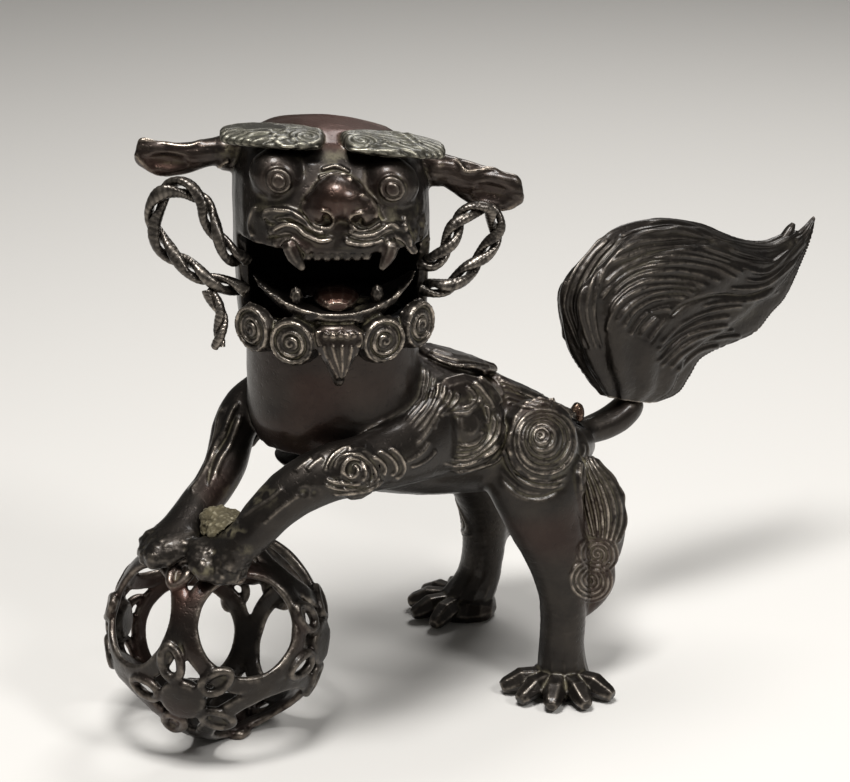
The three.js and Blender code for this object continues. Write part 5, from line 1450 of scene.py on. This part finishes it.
def brow_relief(own):
    """Strands that sweep outwards over each brow from a whorl near the nose."""
    flat = np.stack([np.abs(own[:, 0]), own[:, 1]], -1)
    curl = whorl(flat, BROW_CURL, 2.2, BROW_CURL_RADIUS, -1)
    near = smoothstep(BROW_CURL_RADIUS + 1, BROW_CURL_RADIUS - 1, np.hypot(*(flat - BROW_CURL).T))
    sweep = comb((own[:, 1] + 0.012 * (flat[:, 0] - 14) ** 2) / 2.5 + 0.2 * lumps(own, 9.0))
    return 0.6 * (curl * near + sweep * (1 - near)) - 0.3


def head_relief(casting, skin, own):
    """Folds of the face, rings of the eyes, volutes of the nose, beard curls and hair of the brows."""
    spots = skin.spots
    front = skin.facing * (own[:, 1] < -8)
    face = casting.named("head_shell", "nose", "eye")
    folds = ridges(spots, WRINKLES, STRAND, 0.9, 0.08) - ridges(spots, WRINKLE_GROOVES, 1.5, 1.0, 0.1)
    folds = folds + ridges(spots, NOSE_STRANDS, STRAND, 1.0, 0.06) - 1.3 * blobs(spots, NOSE_PITS)
    height = face * front * folds
    height = height + casting.named("eye") * eye_relief(own)
    jaw = ridges(spots, JAW_STRANDS, 2.4, 0.6) - ridges(spots, JAW_GROOVES, 1.6, 0.7)
    hatch = 0.15 * comb((spots[:, 0] + spots[:, 1]) / 4.0)
    height = height + casting.named("lower_jaw") * front * (jaw + hatch)
    brows = casting.named("brow_plate")
    height = height + brows * (brow_relief(own) + ridges(spots, BROW_STRANDS, STRAND, 0.6) * skin.facing)
    height = height + casting.named("beard_curl_outer") * curl_relief(own, True)
    height = height + casting.named("beard_curl_inner") * curl_relief(own, False)
    beads = np.max([dome(spots, bead, 3.6) for bead in CHIN_BEADS], axis=0)
    chin = ridges(spots, CHIN_STRANDS, STRAND, 0.7) + 0.9 * beads
    height = height + casting.named("chin_tuft") * skin.facing * chin
    ears = casting.named("ear")
    ribs = 0.1 * comb(own[:, 2] / 2.6 + np.abs(own[:, 0]) * 0.05 + 0.3 * lumps(own, 9.0))
    height = height + ears * (ridges(spots, EAR_STRANDS, 2.2, 0.6) * skin.facing + ribs)
    cheek = blobs(spots, ROUGH_CHEEK) * (0.5 * lumps(own, 1.6) + 0.5 * lumps(own, 3.2))
    rear = casting.named("head_shell") * smoothstep(5, 12, own[:, 1])
    mane = 0.5 * rear * comb(np.arctan2(own[:, 0], own[:, 1]) * 13 + 0.4 * np.sin(own[:, 2] / 7))
    return np.where(casting.named("head_lining"), 0.0, height + cheek * front + mane)


def head_stain(casting, skin, own):
    """Yellow dust on the cheek and between the brows, and red-brown metal on dome, nose and ears."""
    dust = blobs(skin.spots, FACE_DUST) * skin.facing * smoothstep(-0.5, 0.3, lumps(own, 2.4))
    dust = dust + 0.25 * casting.named("brow_plate") * blobs(skin.spots, BROW_DUST)
    dome_top = smoothstep(64, 70, own[:, 2]) * ~casting.named("brow", "ear")
    warm = 0.5 * blobs(skin.spots, FACE_WARM) * skin.facing + 0.6 * dome_top
    return dust, warm


HEAD_MIDDLE = np.array([0.0, 0.0, 36.0])


def head_inward(own, ways):
    """Faces of the head's solid that look at its hollow."""
    return looks_at(HEAD_MIDDLE, own, ways)


def head_zone(node, own, ways):
    """The piece that each face of a solid belongs to: the skull's hollow is a piece of its own."""
    if node != "head_shell":
        return np.full(len(own), node)
    side = np.where(own[:, 1] < 0, "head_shell_face", "head_shell_nape")
    return np.where(head_inward(own, ways), "head_lining", side)


def head_grow(node, own, ways):
    """How far each solid swells, so that brazed pieces meet. The underside stays clear of the neck."""
    fixed = (own[:, 2] < 1) & (np.hypot(own[:, 0], own[:, 1]) < NECK_FIT)
    if node == "head_shell":
        fixed = fixed | head_inward(own, ways)
    return np.where(fixed, 0.0, JOINT_FILL)


def head_finish(zone):
    """The node, slot and finish of each piece: brows are dusty, and nose, ears and chin are handled."""
    if zone.startswith("head_lining"):
        return "head_shell", "dark_bronze", SOOTY
    if zone.startswith("head_"):
        return "head_shell", "dark_bronze", DARK
    if zone.startswith("brow_plate"):
        return zone, "dusty_bronze", DUSTY
    if zone.startswith(("nose", "ear", "chin_tuft")):
        return zone, "rubbed_bronze", HANDLED
    return zone, "dark_bronze", DARK


HEAD_NODES = ["head_shell", "lower_jaw", "nose", "chin_tuft", "upper_teeth"]
PAIRED_ON_HEAD = ("eye", "brow_plate", "ear", "beard_curl_outer", "beard_curl_inner", "fang")
HEAD_NODES += [f"{part}_{side}" for part in PAIRED_ON_HEAD for side in SIDES]
HEAD_CELL = 0.44


def head_smoothing(casting, own):
    """Skull, eyes and nose are smooth castings, ears and brows less so; the face keeps its edges."""
    skull = casting.named("head_shell") * (0.25 + 0.75 * smoothstep(-12, 0, own[:, 1]))
    soft = 0.3 * casting.named("brow", "chin") + 0.4 * casting.named("ear")
    return skull + soft + casting.named("eye", "nose", "head_lining")


head_casting = Casting(HEAD_NODES, HEAD_CELL, HEAD, head_zone, head_grow)
head_casting.ease(7)
head_casting.ease(30, 0.5, head_smoothing)
head_casting.carve(head_relief, head_stain)
head_casting.pieces("head", head_finish)


def on_head(node, voxel, rounds, material, slot="dark_bronze", **more):
    """A carved piece that rides on the head and has its axes."""
    return carved(node, voxel, rounds, material, slot, HEAD, "head", **more)


def tongue_stain(skin, own):
    """A little dust on the side, and red-brown metal all over."""
    return 0.3 * blobs(skin.spots, TONGUE_DUST), np.full(len(own), 0.5)


on_head("lid_rim", 0.6, 3, DARK)
on_head("tongue", 0.35, 6, HANDLED, "rubbed_bronze", stain=tongue_stain)
for side_word in SIDES:
    on_head(f"lower_tooth_{side_word}", 0.3, 4, DARK)

# Ribbons: two strips twisted together, along the same line as the solids

RIBBON_LINE = {
    "left": [[31, -13.5, 23.2], [35, -17, 24.5], [40, -17, 31], [43.5, -14, 40], [49.5, -11, 45],
             [55.5, -9, 44.5], [58, -8, 35], [54.5, -9, 26], [48, -12, 19.5], [40, -16, 14.5],
             [30.5, -13, 13.5]],
    "right": [[31, -13.5, 25.5], [36, -17, 28], [42.5, -14, 37], [45, -12, 43], [51.5, -10, 46.5],
              [58.5, -9, 44.5], [62.5, -8, 36.5], [60, -9, 29.5], [52.5, -12, 24], [43.8, -15, 19],
              [31, -13, 14.2]],
}
RIBBON_END_LINE = [(-44.5, -16, 15.5), (-40, -18, 8), (-40.5, -19, 0), (-41.2, -19, -4.5)]
# Turns of the twist, then how far each strip lies off the line, its half width and its half thickness.
LOOP_TWIST = (3.5, 1.85, 2.0, 1.45)
END_TWIST = (1.2, 1.2, 1.6, 1.25)
WRAP_PITCH = 1.5


def strip_mesh(line, phase, turns, apart, wide, thin):
    """One strip wound round a line: an oval that turns with it, with slanting grooves across it."""
    line = smooth_line(line, 300)
    away = np.concatenate([[0], np.linalg.norm(np.diff(line, axis=0), axis=1).cumsum()])
    _, side, rise = line_axes(line, np.array([0.0, 1, 0]))
    spin = away / away[-1] * turns * 2 * np.pi + phase
    out = np.cos(spin)[:, None] * side + np.sin(spin)[:, None] * rise
    centre = line + out * apart
    along = unit(np.gradient(centre, axis=0))
    out = unit(out - along * (along * out).sum(1)[:, None])
    flat = np.cross(along, out)
    roll = np.linspace(0, 2 * np.pi, 28, False)[None, :]
    wrap = 0.16 * comb((away[:, None] + 0.25 * np.cos(roll) * wide) / WRAP_PITCH)
    size = 1 + wrap[..., None] / wide + 0.06 * lumps(centre, 5.0)[:, None, None]
    ring = thin * np.cos(roll)[..., None] * out[:, None, :]
    ring = ring + wide * np.sin(roll)[..., None] * flat[:, None, :]
    return tube_mesh(centre[:, None, :] + ring * size)


def ribbon(node, line, turns, apart, wide, thin):
    """Two strips wound round one line, half a turn apart."""
    parts = [strip_mesh(line, phase, turns, apart, wide, thin) for phase in (0, math.pi)]
    points, faces = joined_mesh(parts)
    mesh = outward_mesh(node, HEAD.to_frame(points), faces)
    set_points(mesh, mesh_points(mesh))
    mark(mesh, wear_marks(mesh, 0.25 * lumps(points, 7.0)))
    show(f"twisted_{node}", mesh, [node], "head", WIRE)


for side_word, sign in (("left", 1), ("right", -1)):
    route = [(sign * x, y, z) for x, y, z in RIBBON_LINE[side_word]]
    ribbon(f"ribbon_loop_{side_word}", route, *LOOP_TWIST)
ribbon("ribbon_end", RIBBON_END_LINE, *END_TWIST)

bpy.context.scene.view_settings.view_transform = "Standard"
